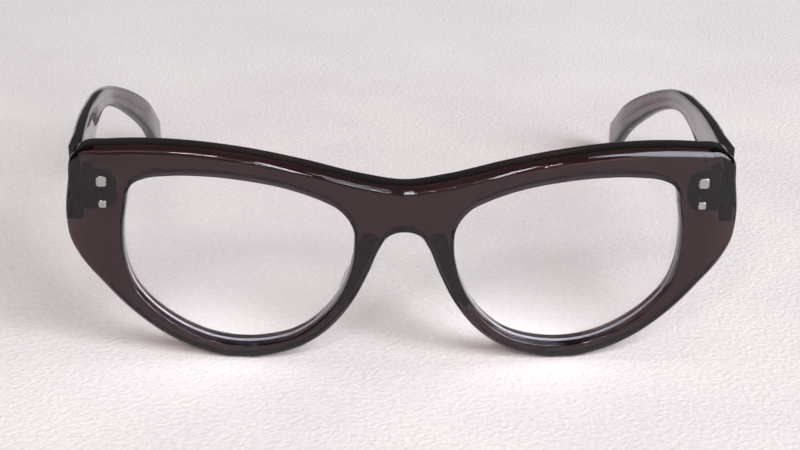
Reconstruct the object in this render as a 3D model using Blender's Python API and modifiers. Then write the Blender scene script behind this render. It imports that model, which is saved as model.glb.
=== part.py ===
"""Acetate eyeglass frame with bonded nose pads, riveted five-knuckle hinges and folding temples.

Metres, +Z up. The front looks along -Y and stands on its rims, +X is the wearer's left.
"""

import math

import bmesh
import bpy
import numpy as np
from mathutils import Matrix, Vector

# Lens openings, and what the front has beside, between, below and above them
OPENING_WIDTH = 0.0502
OPENING_HEIGHT = 0.0394
BRIDGE_WIDTH = 0.0214
ENDPIECE_WIDTH = 0.0121
RIM_HEIGHT = 0.0033
BROW_HEIGHT = 0.0063

# Front
FRONT_THICKNESS = 0.0062
FACE_CURVE_RADIUS = 0.450
ENDPIECE_THICKNESS = 0.0051
BROW_ROUNDING = 0.0021
RIM_ROUNDING = 0.0012
SMALL_ROUNDING = 0.0004

# Lenses and the groove that holds them
LENS_SETBACK = 0.0029
LENS_BEVEL = 0.0007
LENS_EDGE_LAND = 0.0003

# Nose pads
PAD_DEPTH = 0.0044

# Temples
TEMPLE_REACH = 0.1250
TEMPLE_THICKNESS = 0.0030
TEMPLE_INSET = 0.0005
BUTT_HEIGHT = 0.0166
BOW = 0.0046
TEMPLE_ROUNDING = 0.0009
TIP_LENGTH = 0.0040
TIP_END_ROUNDING = 0.0030

# Core wires
CORE_RADIUS = 0.0006
CORE_DROP = 0.0056

# Hinges
KNUCKLE_RADIUS = 0.00135
KNUCKLE_HEIGHT = 0.0017
LEAF_THICKNESS = 0.0009
FRONT_LEAF_LENGTH = 0.0063
FRONT_LEAF_HEIGHT = 0.0092
TEMPLE_LEAF_LENGTH = 0.0125
TEMPLE_LEAF_HEIGHT = 0.0072
LEAF_END_RADIUS = 0.0034
LEAF_CORNER_RADIUS = 0.0004

# Screws
SCREW_RADIUS = 0.00065
SCREW_HEAD_RADIUS = 0.00115
SCREW_HEAD_HEIGHT = 0.0007
SCREW_SLOT_WIDTH = 0.0003
SCREW_SLOT_DEPTH = 0.0003

# Rivets
LARGE_HEAD_WIDTH = 0.0023
SMALL_HEAD_WIDTH = 0.0017
HEAD_THICKNESS = 0.0007
HEAD_PROUD = 0.00015
SHANK_RADIUS = 0.0006
BUTTON_RADIUS = 0.00085
BUTTON_HEIGHT = 0.0003
FRONT_RIVET_INSET = 0.0033
UPPER_RIVET_RISE = 0.0031
LOWER_RIVET_DROP = 0.00205
TEMPLE_RIVET_START = 0.0046
TEMPLE_RIVET_SPACING = 0.0052

# Fits
RUNNING_GAP = 0.0001
SEAT_GAP = 0.00005
OVERRUN = 0.0010

# Fineness of the facets
OUTLINE_STEPS = 3
LOOP_STEPS = 8
LENS_POINTS = 57
PAD_POINTS = 24
BEND_STEP = 0.0100
TEMPLE_STEPS = 3
TEMPLE_CORNER_STEPS = 2
LEAF_CORNER_STEPS = 3
END_STEPS = 3
HEAD_STEPS = 2
KNUCKLE_SIDES = 8
ROUND_SIDES = 16
SHANK_SIDES = 10
MERGE = 0.000001
SLIVER = 0.000004
EDGE_ANGLE = math.radians(60.0)
SHARP_ANGLE = math.radians(32.0)

# Half outline from the middle of the brow round the endpiece and the rim to the middle of the bridge,
# as shares of the half width and of the height
OUTLINE_SHARES = (
    (0.000, 0.837), (0.123, 0.863), (0.295, 0.9245), (0.471, 0.9735), (0.630, 0.997),
    (0.753, 1.000), (0.870, 0.988), (0.953, 0.963), (0.988, 0.922), (0.9945, 0.816),
    (1.000, 0.653), (0.992, 0.551), (0.962, 0.455), (0.8945, 0.331), (0.808, 0.200),
    (0.712, 0.096), (0.603, 0.0255), (0.493, -0.004), (0.397, 0.0153), (0.301, 0.0663),
    (0.219, 0.157), (0.151, 0.292), (0.104, 0.437), (0.0726, 0.551), (0.0507, 0.602),
    (0.026, 0.6224), (0.000, 0.6276),
)

# Lens opening, each point opposite the same point of the half outline, as shares of its own width
# and height
OPENING_SHARES = (
    (0.0782, 0.835), (0.1355, 0.873), (0.275, 0.9365), (0.464, 0.982), (0.643, 1.000),
    (0.793, 0.9937), (0.894, 0.972), (0.946, 0.9365), (0.968, 0.891), (0.980, 0.810),
    (0.996, 0.678), (0.998, 0.576), (0.990, 0.462), (0.960, 0.340), (0.8825, 0.2107),
    (0.775, 0.1066), (0.643, 0.0305), (0.504, 0.0013), (0.3765, 0.014), (0.261, 0.0584),
    (0.1614, 0.1472), (0.0777, 0.279), (0.0259, 0.429), (0.0006, 0.600), (0.0067, 0.710),
    (0.0221, 0.755), (0.0412, 0.790),
)

# Foot of a nose pad on the back of the rim, as shares of the half width and of the height
PAD_SHARES = (
    (0.070, 0.598), (0.092, 0.626), (0.118, 0.606), (0.137, 0.530), (0.150, 0.440),
    (0.171, 0.350), (0.197, 0.264), (0.194, 0.230), (0.172, 0.256), (0.139, 0.345),
    (0.107, 0.455), (0.079, 0.552),
)
# Layers of a nose pad as shares of its depth, of the foot's size and of the depth it leans outward
PAD_LAYER_SHARES = ((0.00, 1.00, 0.00), (0.45, 0.97, 0.12), (0.78, 0.82, 0.24), (1.00, 0.48, 0.32))

# Temple line as shares of the reach, of the height at the hinge, of the butt height and of the bow
TEMPLE_SHARES = (
    (0.000, 1.000, 1.000, 0.000),
    (0.060, 0.993, 0.946, 0.000),
    (0.130, 0.987, 0.861, 0.060),
    (0.218, 0.981, 0.735, 0.420),
    (0.386, 0.957, 0.464, 0.880),
    (0.545, 0.891, 0.330, 1.000),
    (0.638, 0.799, 0.330, 0.950),
    (0.722, 0.679, 0.355, 0.680),
    (0.806, 0.521, 0.430, 0.240),
    (0.898, 0.306, 0.525, -0.250),
    (1.000, 0.000, 0.610, -0.470),
)
# Height of the tip's middle above the table, as a share of half its width
TIP_LIFT_SHARE = 1.06
# Share of the reach over which the butt turns from upright to square with the temple line
BUTT_SQUARE_SHARE = 0.10
# Shares of the reach where the core wire leaves its low start, where it has joined the temple line,
# and where it ends
CORE_LOW_SHARE = 0.12
CORE_BLEND_SHARE = 0.45
CORE_END_SHARE = 0.92

# Heights on the front as shares of its height, and the corner radius of a rivet head
HINGE_HEIGHT_SHARE = 0.765
BUTT_CENTRE_SHARE = 0.784
ROUNDING_LOW_SHARE = 0.30
ROUNDING_HIGH_SHARE = 0.60
HEAD_CORNER_SHARE = 0.28
# The lens facets start half a step on from those of the opening, so that the two never line up
LENS_PHASE_SHARE = 0.5


def face_curve(x):
    """How far back the bent front lies at a distance from its middle."""
    return x * x / (2.0 * FACE_CURVE_RADIUS)


# Places worked out from the sizes, the front's own in its flat state
HALF_WIDTH = 0.5 * BRIDGE_WIDTH + OPENING_WIDTH + ENDPIECE_WIDTH
FRONT_HEIGHT = RIM_HEIGHT + OPENING_HEIGHT + BROW_HEIGHT
HINGE_STANDOFF = KNUCKLE_RADIUS + RUNNING_GAP
TEMPLE_INNER_X = HALF_WIDTH - TEMPLE_INSET - TEMPLE_THICKNESS
HINGE_X = TEMPLE_INNER_X - HINGE_STANDOFF
BUTT_Y = face_curve(HALF_WIDTH) + ENDPIECE_THICKNESS
HINGE_Y = BUTT_Y + HINGE_STANDOFF
HINGE_Z = FRONT_HEIGHT * HINGE_HEIGHT_SHARE
HINGE_PLACE = (HINGE_X, HINGE_Y, HINGE_Z)
KNUCKLE_PITCH = KNUCKLE_HEIGHT + RUNNING_GAP
STACK_HALF = 2.0 * KNUCKLE_PITCH + 0.5 * KNUCKLE_HEIGHT
TEMPLE_START_Y = BUTT_Y + RUNNING_GAP
FRONT_RIVET_X = HINGE_X - FRONT_RIVET_INSET
FRONT_RIVETS = (
    ("front_rivet_upper", LARGE_HEAD_WIDTH, HINGE_Z + UPPER_RIVET_RISE),
    ("front_rivet_lower", SMALL_HEAD_WIDTH, HINGE_Z - LOWER_RIVET_DROP),
)
TEMPLE_RIVETS = (
    ("temple_rivet_front", LARGE_HEAD_WIDTH, HINGE_Y + TEMPLE_RIVET_START),
    ("temple_rivet_rear", SMALL_HEAD_WIDTH, HINGE_Y + TEMPLE_RIVET_START + TEMPLE_RIVET_SPACING),
)

MATERIALS = {
    "acetate": ((0.060, 0.042, 0.047, 1.0), 0.12, 0.0),
    "clear_lens": ((0.900, 0.920, 0.925, 1.0), 0.03, 0.0),
    "nickel_silver": ((0.600, 0.580, 0.545, 1.0), 0.28, 1.0),
    "screw_steel": ((0.560, 0.560, 0.570, 1.0), 0.25, 1.0),
}


# Scene

def clear_scene():
    for obj in list(bpy.data.objects):
        bpy.data.objects.remove(obj)


def new_collection(name):
    collection = bpy.data.collections.new(name)
    bpy.context.scene.collection.children.link(collection)
    return collection


def make_materials():
    for name, (colour, roughness, metallic) in MATERIALS.items():
        material = bpy.data.materials.new(name)
        material.use_nodes = True
        shader = material.node_tree.nodes["Principled BSDF"]
        shader.inputs["Base Color"].default_value = colour
        shader.inputs["Roughness"].default_value = roughness
        shader.inputs["Metallic"].default_value = metallic


def make_carrier(name, place, parent, collection):
    """An empty that carries pieces, given with its place in the model."""
    empty = bpy.data.objects.new(name, None)
    collection.objects.link(empty)
    empty.parent = parent
    empty.location = place
    return empty, Vector(place)


# Curves through a few chosen points

def smooth_course(points, before, after, steps):
    """A smooth curve through the points, where before and after are its unseen neighbours."""
    chain = np.array([before, *points, after], dtype=float)
    gaps = np.linalg.norm(np.diff(chain[:, :2], axis=0), axis=1)
    course = []
    for i in range(1, len(chain) - 2):
        start_slope = course_slope(chain, gaps, i) * gaps[i]
        end_slope = course_slope(chain, gaps, i + 1) * gaps[i]
        for step in range(steps):
            course.append(hermite(chain[i], chain[i + 1], start_slope, end_slope, step / steps))
    course.append(chain[-2])
    return np.array(course)


def course_slope(chain, gaps, i):
    back = (chain[i] - chain[i - 1]) / gaps[i - 1]
    ahead = (chain[i + 1] - chain[i]) / gaps[i]
    return (back * gaps[i] + ahead * gaps[i - 1]) / (gaps[i - 1] + gaps[i])


def hermite(start, end, start_slope, end_slope, t):
    return (
        start * (2 * t ** 3 - 3 * t ** 2 + 1)
        + end * (3 * t ** 2 - 2 * t ** 3)
        + start_slope * (t ** 3 - 2 * t ** 2 + t)
        + end_slope * (t ** 3 - t ** 2)
    )


def smooth_loop(points, count, phase=0.0):
    """Evenly spaced points on a closed smooth curve, starting a share of a step along it."""
    curve = smooth_course([*points, points[0]], points[-1], points[1], LOOP_STEPS)
    lengths = np.linalg.norm(np.diff(curve, axis=0), axis=1)
    along = np.concatenate(([0.0], np.cumsum(lengths)))
    marks = (np.arange(count) + phase) * along[-1] / count
    return np.stack([np.interp(marks, along, curve[:, axis]) for axis in range(2)], axis=1)


def half_outline():
    """Outline of one half, closed along the middle of the bridge."""
    points = [(x * HALF_WIDTH, z * FRONT_HEIGHT) for x, z in OUTLINE_SHARES]
    before = (-points[1][0], points[1][1])
    after = (-points[-2][0], points[-2][1])
    outline = smooth_course(points, before, after, OUTLINE_STEPS)
    middle = np.linspace(outline[-1], outline[0], OUTLINE_STEPS + 1)[1:-1]
    outline = np.concatenate((outline, middle))
    outline[:, 1] = np.maximum(outline[:, 1], 0.0)
    return outline


def opening_points():
    nasal = 0.5 * BRIDGE_WIDTH
    return [(nasal + x * OPENING_WIDTH, RIM_HEIGHT + z * OPENING_HEIGHT) for x, z in OPENING_SHARES]


def opening_outline():
    """Outline of a lens opening, with a point opposite each one of the half outline."""
    points = opening_points()
    return smooth_course([*points, points[0]], points[-1], points[1], OUTLINE_STEPS)[:-1]


def rounded_rectangle(left, right, low, high, left_radius, right_radius, steps):
    """A rectangle whose left and right corners have their own radii."""
    corners = (
        (right - right_radius, high - right_radius, right_radius, 0.0),
        (left + left_radius, high - left_radius, left_radius, 0.5 * math.pi),
        (left + left_radius, low + left_radius, left_radius, math.pi),
        (right - right_radius, low + right_radius, right_radius, 1.5 * math.pi),
    )
    points = []
    for x, z, radius, start in corners:
        for step in range(steps + 1):
            angle = start + 0.5 * math.pi * step / steps
            points.append((x + radius * math.cos(angle), z + radius * math.sin(angle)))
    return points


# Objects and operations

def add_object(name, mesh, collection):
    obj = bpy.data.objects.new(name, mesh)
    collection.objects.link(obj)
    return obj


def mesh_object(name, bm, collection):
    mesh = bpy.data.meshes.new(name)
    bm.to_mesh(mesh)
    bm.free()
    return add_object(name, mesh, collection)


def bake(obj):
    """Keeps the modified shape and drops the modifiers."""
    graph = bpy.context.evaluated_depsgraph_get()
    mesh = bpy.data.meshes.new_from_object(obj.evaluated_get(graph))
    obj.modifiers.clear()
    obj.data = mesh


def combine(obj, tools, operation):
    """Cuts the tools from an object or joins them to it, and uses them up."""
    for tool in tools:
        tool.hide_render = True
        tool.display_type = "WIRE"
        modifier = obj.modifiers.new(operation.lower(), "BOOLEAN")
        modifier.operation = operation
        modifier.solver = "EXACT"
        modifier.object = tool
        bake(obj)
        drop_slivers(obj)
        bpy.data.objects.remove(tool)


def drop_slivers(obj):
    """Closes up the very short edges that a cut leaves."""
    bm = bmesh.new()
    bm.from_mesh(obj.data)
    bmesh.ops.remove_doubles(bm, verts=bm.verts, dist=SLIVER)
    bmesh.ops.triangulate(bm, faces=bm.faces)
    bm.to_mesh(obj.data)
    bm.free()


def curve_to_mesh(name, drawn, collection):
    bpy.context.view_layer.update()
    graph = bpy.context.evaluated_depsgraph_get()
    mesh = bpy.data.meshes.new_from_object(drawn.evaluated_get(graph))
    mesh.transform(drawn.matrix_world)
    bm = bmesh.new()
    bm.from_mesh(mesh)
    bmesh.ops.remove_doubles(bm, verts=bm.verts, dist=MERGE)
    bmesh.ops.recalc_face_normals(bm, faces=bm.faces)
    bm.to_mesh(mesh)
    bm.free()
    bpy.data.objects.remove(drawn)
    return add_object(name, mesh, collection)


def flat_solid(name, points, front_y, back_y, collection, ridge=0.0, inset=0.0):
    """An outline in the XZ plane made solid between two depths, with an optional ridge round its edge."""
    curve = bpy.data.curves.new(name, "CURVE")
    curve.dimensions = "2D"
    curve.fill_mode = "BOTH"
    curve.extrude = 0.5 * (back_y - front_y) - ridge
    curve.bevel_depth = ridge
    curve.bevel_resolution = 0
    curve.offset = -inset
    spline = curve.splines.new("POLY")
    spline.points.add(len(points) - 1)
    for target, point in zip(spline.points, points):
        target.co = (point[0], point[1], 0.0, 1.0)
    spline.use_cyclic_u = True
    drawn = add_object(name + "_outline", curve, collection)
    drawn.location = (0.0, 0.5 * (front_y + back_y), 0.0)
    drawn.rotation_euler = (0.5 * math.pi, 0.0, 0.0)
    return curve_to_mesh(name, drawn, collection)


def tube(name, points, radius, collection):
    curve = bpy.data.curves.new(name, "CURVE")
    curve.dimensions = "3D"
    curve.bevel_depth = radius
    curve.bevel_resolution = 2
    curve.use_fill_caps = True
    spline = curve.splines.new("POLY")
    spline.points.add(len(points) - 1)
    for target, point in zip(spline.points, points):
        target.co = (*point, 1.0)
    return curve_to_mesh(name, add_object(name + "_path", curve, collection), collection)


def cylinder(name, radius, start, end, sides, collection):
    start, end = Vector(start), Vector(end)
    turn = (end - start).to_track_quat("Z", "Y").to_matrix().to_4x4()
    place = Matrix.Translation(0.5 * (start + end)) @ turn
    bm = bmesh.new()
    bmesh.ops.create_cone(bm, cap_ends=True, segments=sides, radius1=radius, radius2=radius,
                          depth=(end - start).length, matrix=place)
    return mesh_object(name, bm, collection)


def box(name, low, high, collection):
    low, high = Vector(low), Vector(high)
    place = Matrix.Translation(0.5 * (low + high)) @ Matrix.Diagonal((*(high - low), 1.0))
    bm = bmesh.new()
    bmesh.ops.create_cube(bm, size=1.0, matrix=place)
    return mesh_object(name, bm, collection)


def loft(name, rings, collection):
    """A closed solid through rings of points that change size and direction."""
    bm = bmesh.new()
    layers = [[bm.verts.new(point) for point in ring] for ring in rings]
    for near, far in zip(layers, layers[1:]):
        for i in range(len(near)):
            bm.faces.new((near[i - 1], near[i], far[i], far[i - 1]))
    bm.faces.new(layers[0])
    bm.faces.new(layers[-1])
    bmesh.ops.triangulate(bm, faces=bm.faces)
    bmesh.ops.recalc_face_normals(bm, faces=bm.faces)
    return mesh_object(name, bm, collection)


def bend_to_face(obj):
    """Bends a flat piece so that it follows the curve of the face."""
    bm = bmesh.new()
    bm.from_mesh(obj.data)
    planes = int(HALF_WIDTH / BEND_STEP)
    for i in range(-planes, planes + 1):
        geometry = bm.verts[:] + bm.edges[:] + bm.faces[:]
        bmesh.ops.bisect_plane(bm, geom=geometry, dist=MERGE, plane_co=(i * BEND_STEP, 0.0, 0.0),
                               plane_no=(1.0, 0.0, 0.0))
    bmesh.ops.triangulate(bm, faces=bm.faces)
    for vert in bm.verts:
        vert.co.y += face_curve(vert.co.x)
    bm.to_mesh(obj.data)
    bm.free()


def flipped_mesh(obj):
    mesh = obj.data.copy()
    mesh.transform(Matrix.Scale(-1.0, 4, (1.0, 0.0, 0.0)))
    mesh.flip_normals()
    return mesh


def opposite(tools, collection):
    """Copies of the tools on the other side of the middle."""
    return [add_object(tool.name + "_opposite", flipped_mesh(tool), collection) for tool in tools]


def finish(obj, material, carrier, origin):
    """Gives a piece its material, its smooth shading, an origin of its own and what carries it."""
    holder, place = carrier
    obj.data.transform(Matrix.Translation(-Vector(origin)))
    obj.data.materials.clear()
    obj.data.materials.append(bpy.data.materials[material])
    obj.data.shade_smooth()
    obj.data.set_sharp_from_angle(angle=SHARP_ANGLE)
    obj.parent = holder
    obj.location = Vector(origin) - place
    return obj


def mirrored(obj, carrier, collection):
    """The same piece for the wearer's right."""
    copy = add_object(obj.name.replace("_left", "_right"), flipped_mesh(obj), collection)
    copy.parent = carrier[0]
    copy.location = (-obj.location.x, obj.location.y, obj.location.z)


# Front

def nearest(point, points):
    return np.min(np.linalg.norm(points - point, axis=1))


def rounding_share(z):
    """The front edge is rounded more at the brow than along the lower rim."""
    climb = (z / FRONT_HEIGHT - ROUNDING_LOW_SHARE) / (ROUNDING_HIGH_SHARE - ROUNDING_LOW_SHARE)
    blend = min(max(climb, 0.0), 1.0)
    return (RIM_ROUNDING + (BROW_ROUNDING - RIM_ROUNDING) * blend) / BROW_ROUNDING


def ladder(bm, outer, inner):
    """Flat faces between two outlines with as many points."""
    outer_verts = [bm.verts.new((x, 0.0, z)) for x, z in outer]
    inner_verts = [bm.verts.new((x, 0.0, z)) for x, z in inner]
    for i in range(len(outer_verts)):
        bm.faces.new((outer_verts[i - 1], outer_verts[i], inner_verts[i], inner_verts[i - 1]))


def flat_front(collection):
    """Rims and bridge as one plate, with its outer front edge marked for rounding."""
    outline = half_outline()
    opening = opening_outline()
    bm = bmesh.new()
    ladder(bm, outline, opening)
    geometry = bm.verts[:] + bm.edges[:] + bm.faces[:]
    bmesh.ops.mirror(bm, geom=geometry, matrix=Matrix.Identity(4), merge_dist=MERGE, axis="X")
    bmesh.ops.recalc_face_normals(bm, faces=bm.faces)
    bmesh.ops.solidify(bm, geom=bm.faces[:], thickness=FRONT_THICKNESS)
    bmesh.ops.recalc_face_normals(bm, faces=bm.faces)
    front_y = min(vert.co.y for vert in bm.verts)
    bmesh.ops.translate(bm, verts=bm.verts, vec=(0.0, -front_y, 0.0))
    weight = bm.edges.layers.float.new("bevel_weight_edge")
    for edge in bm.edges:
        middle = 0.5 * (edge.verts[0].co + edge.verts[1].co)
        flat = np.array((abs(middle.x), middle.z))
        on_front_edge = middle.y < MERGE and edge.calc_face_angle(0.0) > EDGE_ANGLE
        if on_front_edge and nearest(flat, outline) < nearest(flat, opening):
            edge[weight] = rounding_share(middle.z)
    return mesh_object("front", bm, collection)


def round_edges(obj):
    outer = obj.modifiers.new("outer_edge", "BEVEL")
    outer.limit_method = "WEIGHT"
    outer.width = BROW_ROUNDING
    outer.segments = 3
    outer.use_clamp_overlap = False
    bake(obj)
    others = obj.modifiers.new("other_edges", "BEVEL")
    others.limit_method = "ANGLE"
    others.angle_limit = EDGE_ANGLE
    others.width = SMALL_ROUNDING
    others.segments = 1
    others.use_clamp_overlap = False
    others.loop_slide = False
    bake(obj)


def head_outline(width, across, up, clearance):
    half = 0.5 * width + clearance
    radius = half * HEAD_CORNER_SHARE
    return rounded_rectangle(across - half, across + half, up - half, up + half, radius, radius, HEAD_STEPS)


def leaf_outline(length, height, clearance, near_clearance):
    """A hinge plate from its rounded far end to its knuckle end."""
    near = KNUCKLE_RADIUS + near_clearance
    half = 0.5 * height + clearance
    return rounded_rectangle(-length - clearance, near, -half, half, LEAF_END_RADIUS, LEAF_CORNER_RADIUS,
                             LEAF_CORNER_STEPS)


def front_tools(cutters):
    """Grooves, head pockets and shank holes, cut while the front is flat."""
    tools = [lens_blank("groove", RUNNING_GAP, cutters)]
    for name, width, z in FRONT_RIVETS:
        outline = head_outline(width, FRONT_RIVET_X, z, SEAT_GAP)
        tools.append(flat_solid(name + "_pocket", outline, -OVERRUN, HEAD_THICKNESS + SEAT_GAP, cutters))
        start = (FRONT_RIVET_X, 0.5 * HEAD_THICKNESS, z)
        end = (FRONT_RIVET_X, FRONT_THICKNESS + OVERRUN, z)
        tools.append(cylinder(name + "_hole", SHANK_RADIUS + SEAT_GAP, start, end, SHANK_SIDES, cutters))
    return tools + opposite(tools, cutters)


def endpiece_tools(cutters):
    """The flat that the temple butts against and the seat of the hinge plate."""
    low = (0.0, BUTT_Y, -OVERRUN)
    high = (HALF_WIDTH + OVERRUN, BUTT_Y + FRONT_THICKNESS, FRONT_HEIGHT + OVERRUN)
    outline = leaf_outline(FRONT_LEAF_LENGTH, FRONT_LEAF_HEIGHT, SEAT_GAP, SEAT_GAP)
    seat = flat_solid("hinge_seat", outline, -LEAF_THICKNESS - SEAT_GAP, OVERRUN, cutters)
    seat.data.transform(Matrix.Translation((HINGE_X, BUTT_Y, HINGE_Z)))
    tools = [box("butt_flat", low, high, cutters), seat]
    return tools + opposite(tools, cutters)


def make_front(parts, cutters, carrier):
    front = flat_front(parts)
    round_edges(front)
    combine(front, front_tools(cutters), "DIFFERENCE")
    bend_to_face(front)
    combine(front, endpiece_tools(cutters), "DIFFERENCE")
    finish(front, "acetate", carrier, (0.0, 0.0, 0.0))


# Lenses and nose pads

def lens_blank(name, clearance, collection):
    """A flat disc in the outline of the opening whose edge runs out to a ridge."""
    ridge = LENS_BEVEL + clearance
    half = ridge + 0.5 * (LENS_EDGE_LAND + clearance)
    outline = smooth_loop(opening_points(), LENS_POINTS, LENS_PHASE_SHARE)
    return flat_solid(name, outline, LENS_SETBACK - half, LENS_SETBACK + half, collection,
                      ridge=ridge, inset=RUNNING_GAP)


def make_lens(parts, carrier):
    lens = lens_blank("lens_left", 0.0, parts)
    bend_to_face(lens)
    across = 0.5 * (BRIDGE_WIDTH + OPENING_WIDTH)
    up = RIM_HEIGHT + 0.5 * OPENING_HEIGHT
    return finish(lens, "clear_lens", carrier, (across, LENS_SETBACK + face_curve(across), up))


def make_nose_pad(parts, carrier):
    """A pad bonded to the back of the rim, narrower and further out towards the face."""
    points = [(x * HALF_WIDTH, z * FRONT_HEIGHT) for x, z in PAD_SHARES]
    foot = smooth_loop(points, PAD_POINTS)
    middle = foot.mean(axis=0)
    rings = []
    for depth_share, size_share, lean_share in PAD_LAYER_SHARES:
        layer = middle + (foot - middle) * size_share
        y = FRONT_THICKNESS + SEAT_GAP + depth_share * PAD_DEPTH
        rings.append([(x + lean_share * PAD_DEPTH, y + face_curve(x), z) for x, z in layer])
    pad = loft("nose_pad_left", rings, parts)
    foot_y = FRONT_THICKNESS + SEAT_GAP + face_curve(middle[0])
    return finish(pad, "acetate", carrier, (middle[0], foot_y, middle[1]))


# Temples

def temple_line():
    """Depth, height, width and outward bow along the middle of the temple."""
    lift = 0.5 * BUTT_HEIGHT * TEMPLE_SHARES[-1][2] * TIP_LIFT_SHARE
    climb = FRONT_HEIGHT * BUTT_CENTRE_SHARE - lift
    points = np.array([
        (TEMPLE_START_Y + reach * TEMPLE_REACH, lift + rise * climb, width * BUTT_HEIGHT, bow * BOW)
        for reach, rise, width, bow in TEMPLE_SHARES
    ])
    before = 2.0 * points[0] - points[1]
    after = 2.0 * points[-1] - points[-2]
    return smooth_course(points, before, after, TEMPLE_STEPS)


def temple_ring(station, slope, half_width, half_thickness):
    """A rounded section square to the temple line."""
    depth, height, _, bow = station
    radius = min(TEMPLE_ROUNDING, half_thickness)
    middle_x = TEMPLE_INNER_X + 0.5 * TEMPLE_THICKNESS + bow
    section = rounded_rectangle(-half_thickness, half_thickness, -half_width, half_width, radius, radius,
                                TEMPLE_CORNER_STEPS)
    ring = []
    for across, up in section:
        z = height + up * math.cos(slope)
        ring.append((middle_x + across, depth - up * math.sin(slope), max(z, 0.0)))
    return ring


def temple_rings():
    line = temple_line()
    steps = np.gradient(line[:, :2], axis=0)
    slopes = np.arctan2(steps[:, 1], steps[:, 0])
    half_thickness = 0.5 * TEMPLE_THICKNESS
    rings = []
    for station, slope in zip(line, slopes):
        share = (station[0] - TEMPLE_START_Y) / TEMPLE_REACH
        squared = slope * min(share / BUTT_SQUARE_SHARE, 1.0)
        rings.append(temple_ring(station, squared, 0.5 * station[2], half_thickness))
    return rings + tip_end_rings(line, slopes[-1])


def tip_end_rings(line, slope):
    """The last stretch of the tip, whose corners are rounded off."""
    last = line[-1]
    ahead = (last - line[-2]) / np.linalg.norm(last[:2] - line[-2][:2])
    rings = []
    for step in range(END_STEPS + 1):
        angle = 0.5 * math.pi * step / END_STEPS
        distance = TIP_LENGTH - TIP_END_ROUNDING * (1.0 - math.sin(angle))
        width_loss = TIP_END_ROUNDING * (1.0 - math.cos(angle))
        thickness_loss = TEMPLE_ROUNDING * (1.0 - math.cos(angle))
        rings.append(temple_ring(last + ahead * distance, slope, 0.5 * last[2] - width_loss,
                                 0.5 * TEMPLE_THICKNESS - thickness_loss))
    return rings


def core_path(start_overrun, end_overrun):
    """The wire runs below the hinge plate and then along the middle of the temple."""
    path = []
    for depth, height, _, bow in temple_line():
        share = (depth - TEMPLE_START_Y) / TEMPLE_REACH
        if share > CORE_END_SHARE:
            break
        blend = (share - CORE_LOW_SHARE) / (CORE_BLEND_SHARE - CORE_LOW_SHARE)
        blend = min(max(blend, 0.0), 1.0)
        drop = CORE_DROP * (1.0 - blend) ** 2 * (1.0 + 2.0 * blend)
        path.append(Vector((TEMPLE_INNER_X + 0.5 * TEMPLE_THICKNESS + bow, depth, height - drop)))
    path[0] += (path[0] - path[1]).normalized() * start_overrun
    path[-1] += (path[-1] - path[-2]).normalized() * end_overrun
    return path


def temple_tools(cutters):
    tools = [tube("core_hole", core_path(OVERRUN, SEAT_GAP), CORE_RADIUS + RUNNING_GAP, cutters)]
    outline = leaf_outline(TEMPLE_LEAF_LENGTH, TEMPLE_LEAF_HEIGHT, SEAT_GAP, OVERRUN)
    seat = flat_solid("leaf_seat", outline, -LEAF_THICKNESS - SEAT_GAP, OVERRUN, cutters)
    seat.data.transform(temple_leaf_place())
    tools.append(seat)
    outer_x = TEMPLE_INNER_X + TEMPLE_THICKNESS
    for name, width, y in TEMPLE_RIVETS:
        outline = head_outline(width, y, HINGE_Z, SEAT_GAP)
        pocket = flat_solid(name + "_pocket", outline, -HEAD_THICKNESS - SEAT_GAP, OVERRUN, cutters)
        pocket.data.transform(outer_face_place())
        tools.append(pocket)
        start = (TEMPLE_INNER_X, y, HINGE_Z)
        end = (outer_x - 0.5 * HEAD_THICKNESS, y, HINGE_Z)
        tools.append(cylinder(name + "_hole", SHANK_RADIUS + SEAT_GAP, start, end, SHANK_SIDES, cutters))
    return tools


def outer_face_place():
    """Turns a flat piece drawn as depth and height so that it lies on the temple's outer face."""
    turn = Matrix(((0.0, 1.0, 0.0), (1.0, 0.0, 0.0), (0.0, 0.0, -1.0))).to_4x4()
    return Matrix.Translation((TEMPLE_INNER_X + TEMPLE_THICKNESS, 0.0, 2.0 * HINGE_Z)) @ turn


def make_temple(parts, cutters, carrier):
    temple = loft("temple_left", temple_rings(), parts)
    combine(temple, temple_tools(cutters), "DIFFERENCE")
    return finish(temple, "acetate", carrier, HINGE_PLACE)


def make_core_wire(parts, carrier):
    wire = tube("core_wire_left", core_path(-SEAT_GAP, -RUNNING_GAP), CORE_RADIUS, parts)
    return finish(wire, "screw_steel", carrier, HINGE_PLACE)


# Hinges

def temple_leaf_place():
    """Puts a leaf drawn round its knuckle line on the inner face of the temple."""
    turn = Matrix(((0.0, -1.0, 0.0), (-1.0, 0.0, 0.0), (0.0, 0.0, -1.0))).to_4x4()
    return Matrix.Translation((TEMPLE_INNER_X, HINGE_Y, HINGE_Z)) @ turn


def knuckle(name, row, collection):
    """A lug with a round end about the hinge axis, rooted in the plate."""
    root = -0.5 * LEAF_THICKNESS
    outline = [(-KNUCKLE_RADIUS, root), (KNUCKLE_RADIUS, root)]
    for step in range(KNUCKLE_SIDES + 1):
        angle = math.pi * step / KNUCKLE_SIDES
        outline.append((KNUCKLE_RADIUS * math.cos(angle), HINGE_STANDOFF + KNUCKLE_RADIUS * math.sin(angle)))
    low = -STACK_HALF + row * KNUCKLE_PITCH
    lug = flat_solid(name, outline, -low - KNUCKLE_HEIGHT, -low, collection)
    lug.data.transform(Matrix.Rotation(-0.5 * math.pi, 4, "X"))
    return lug


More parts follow.
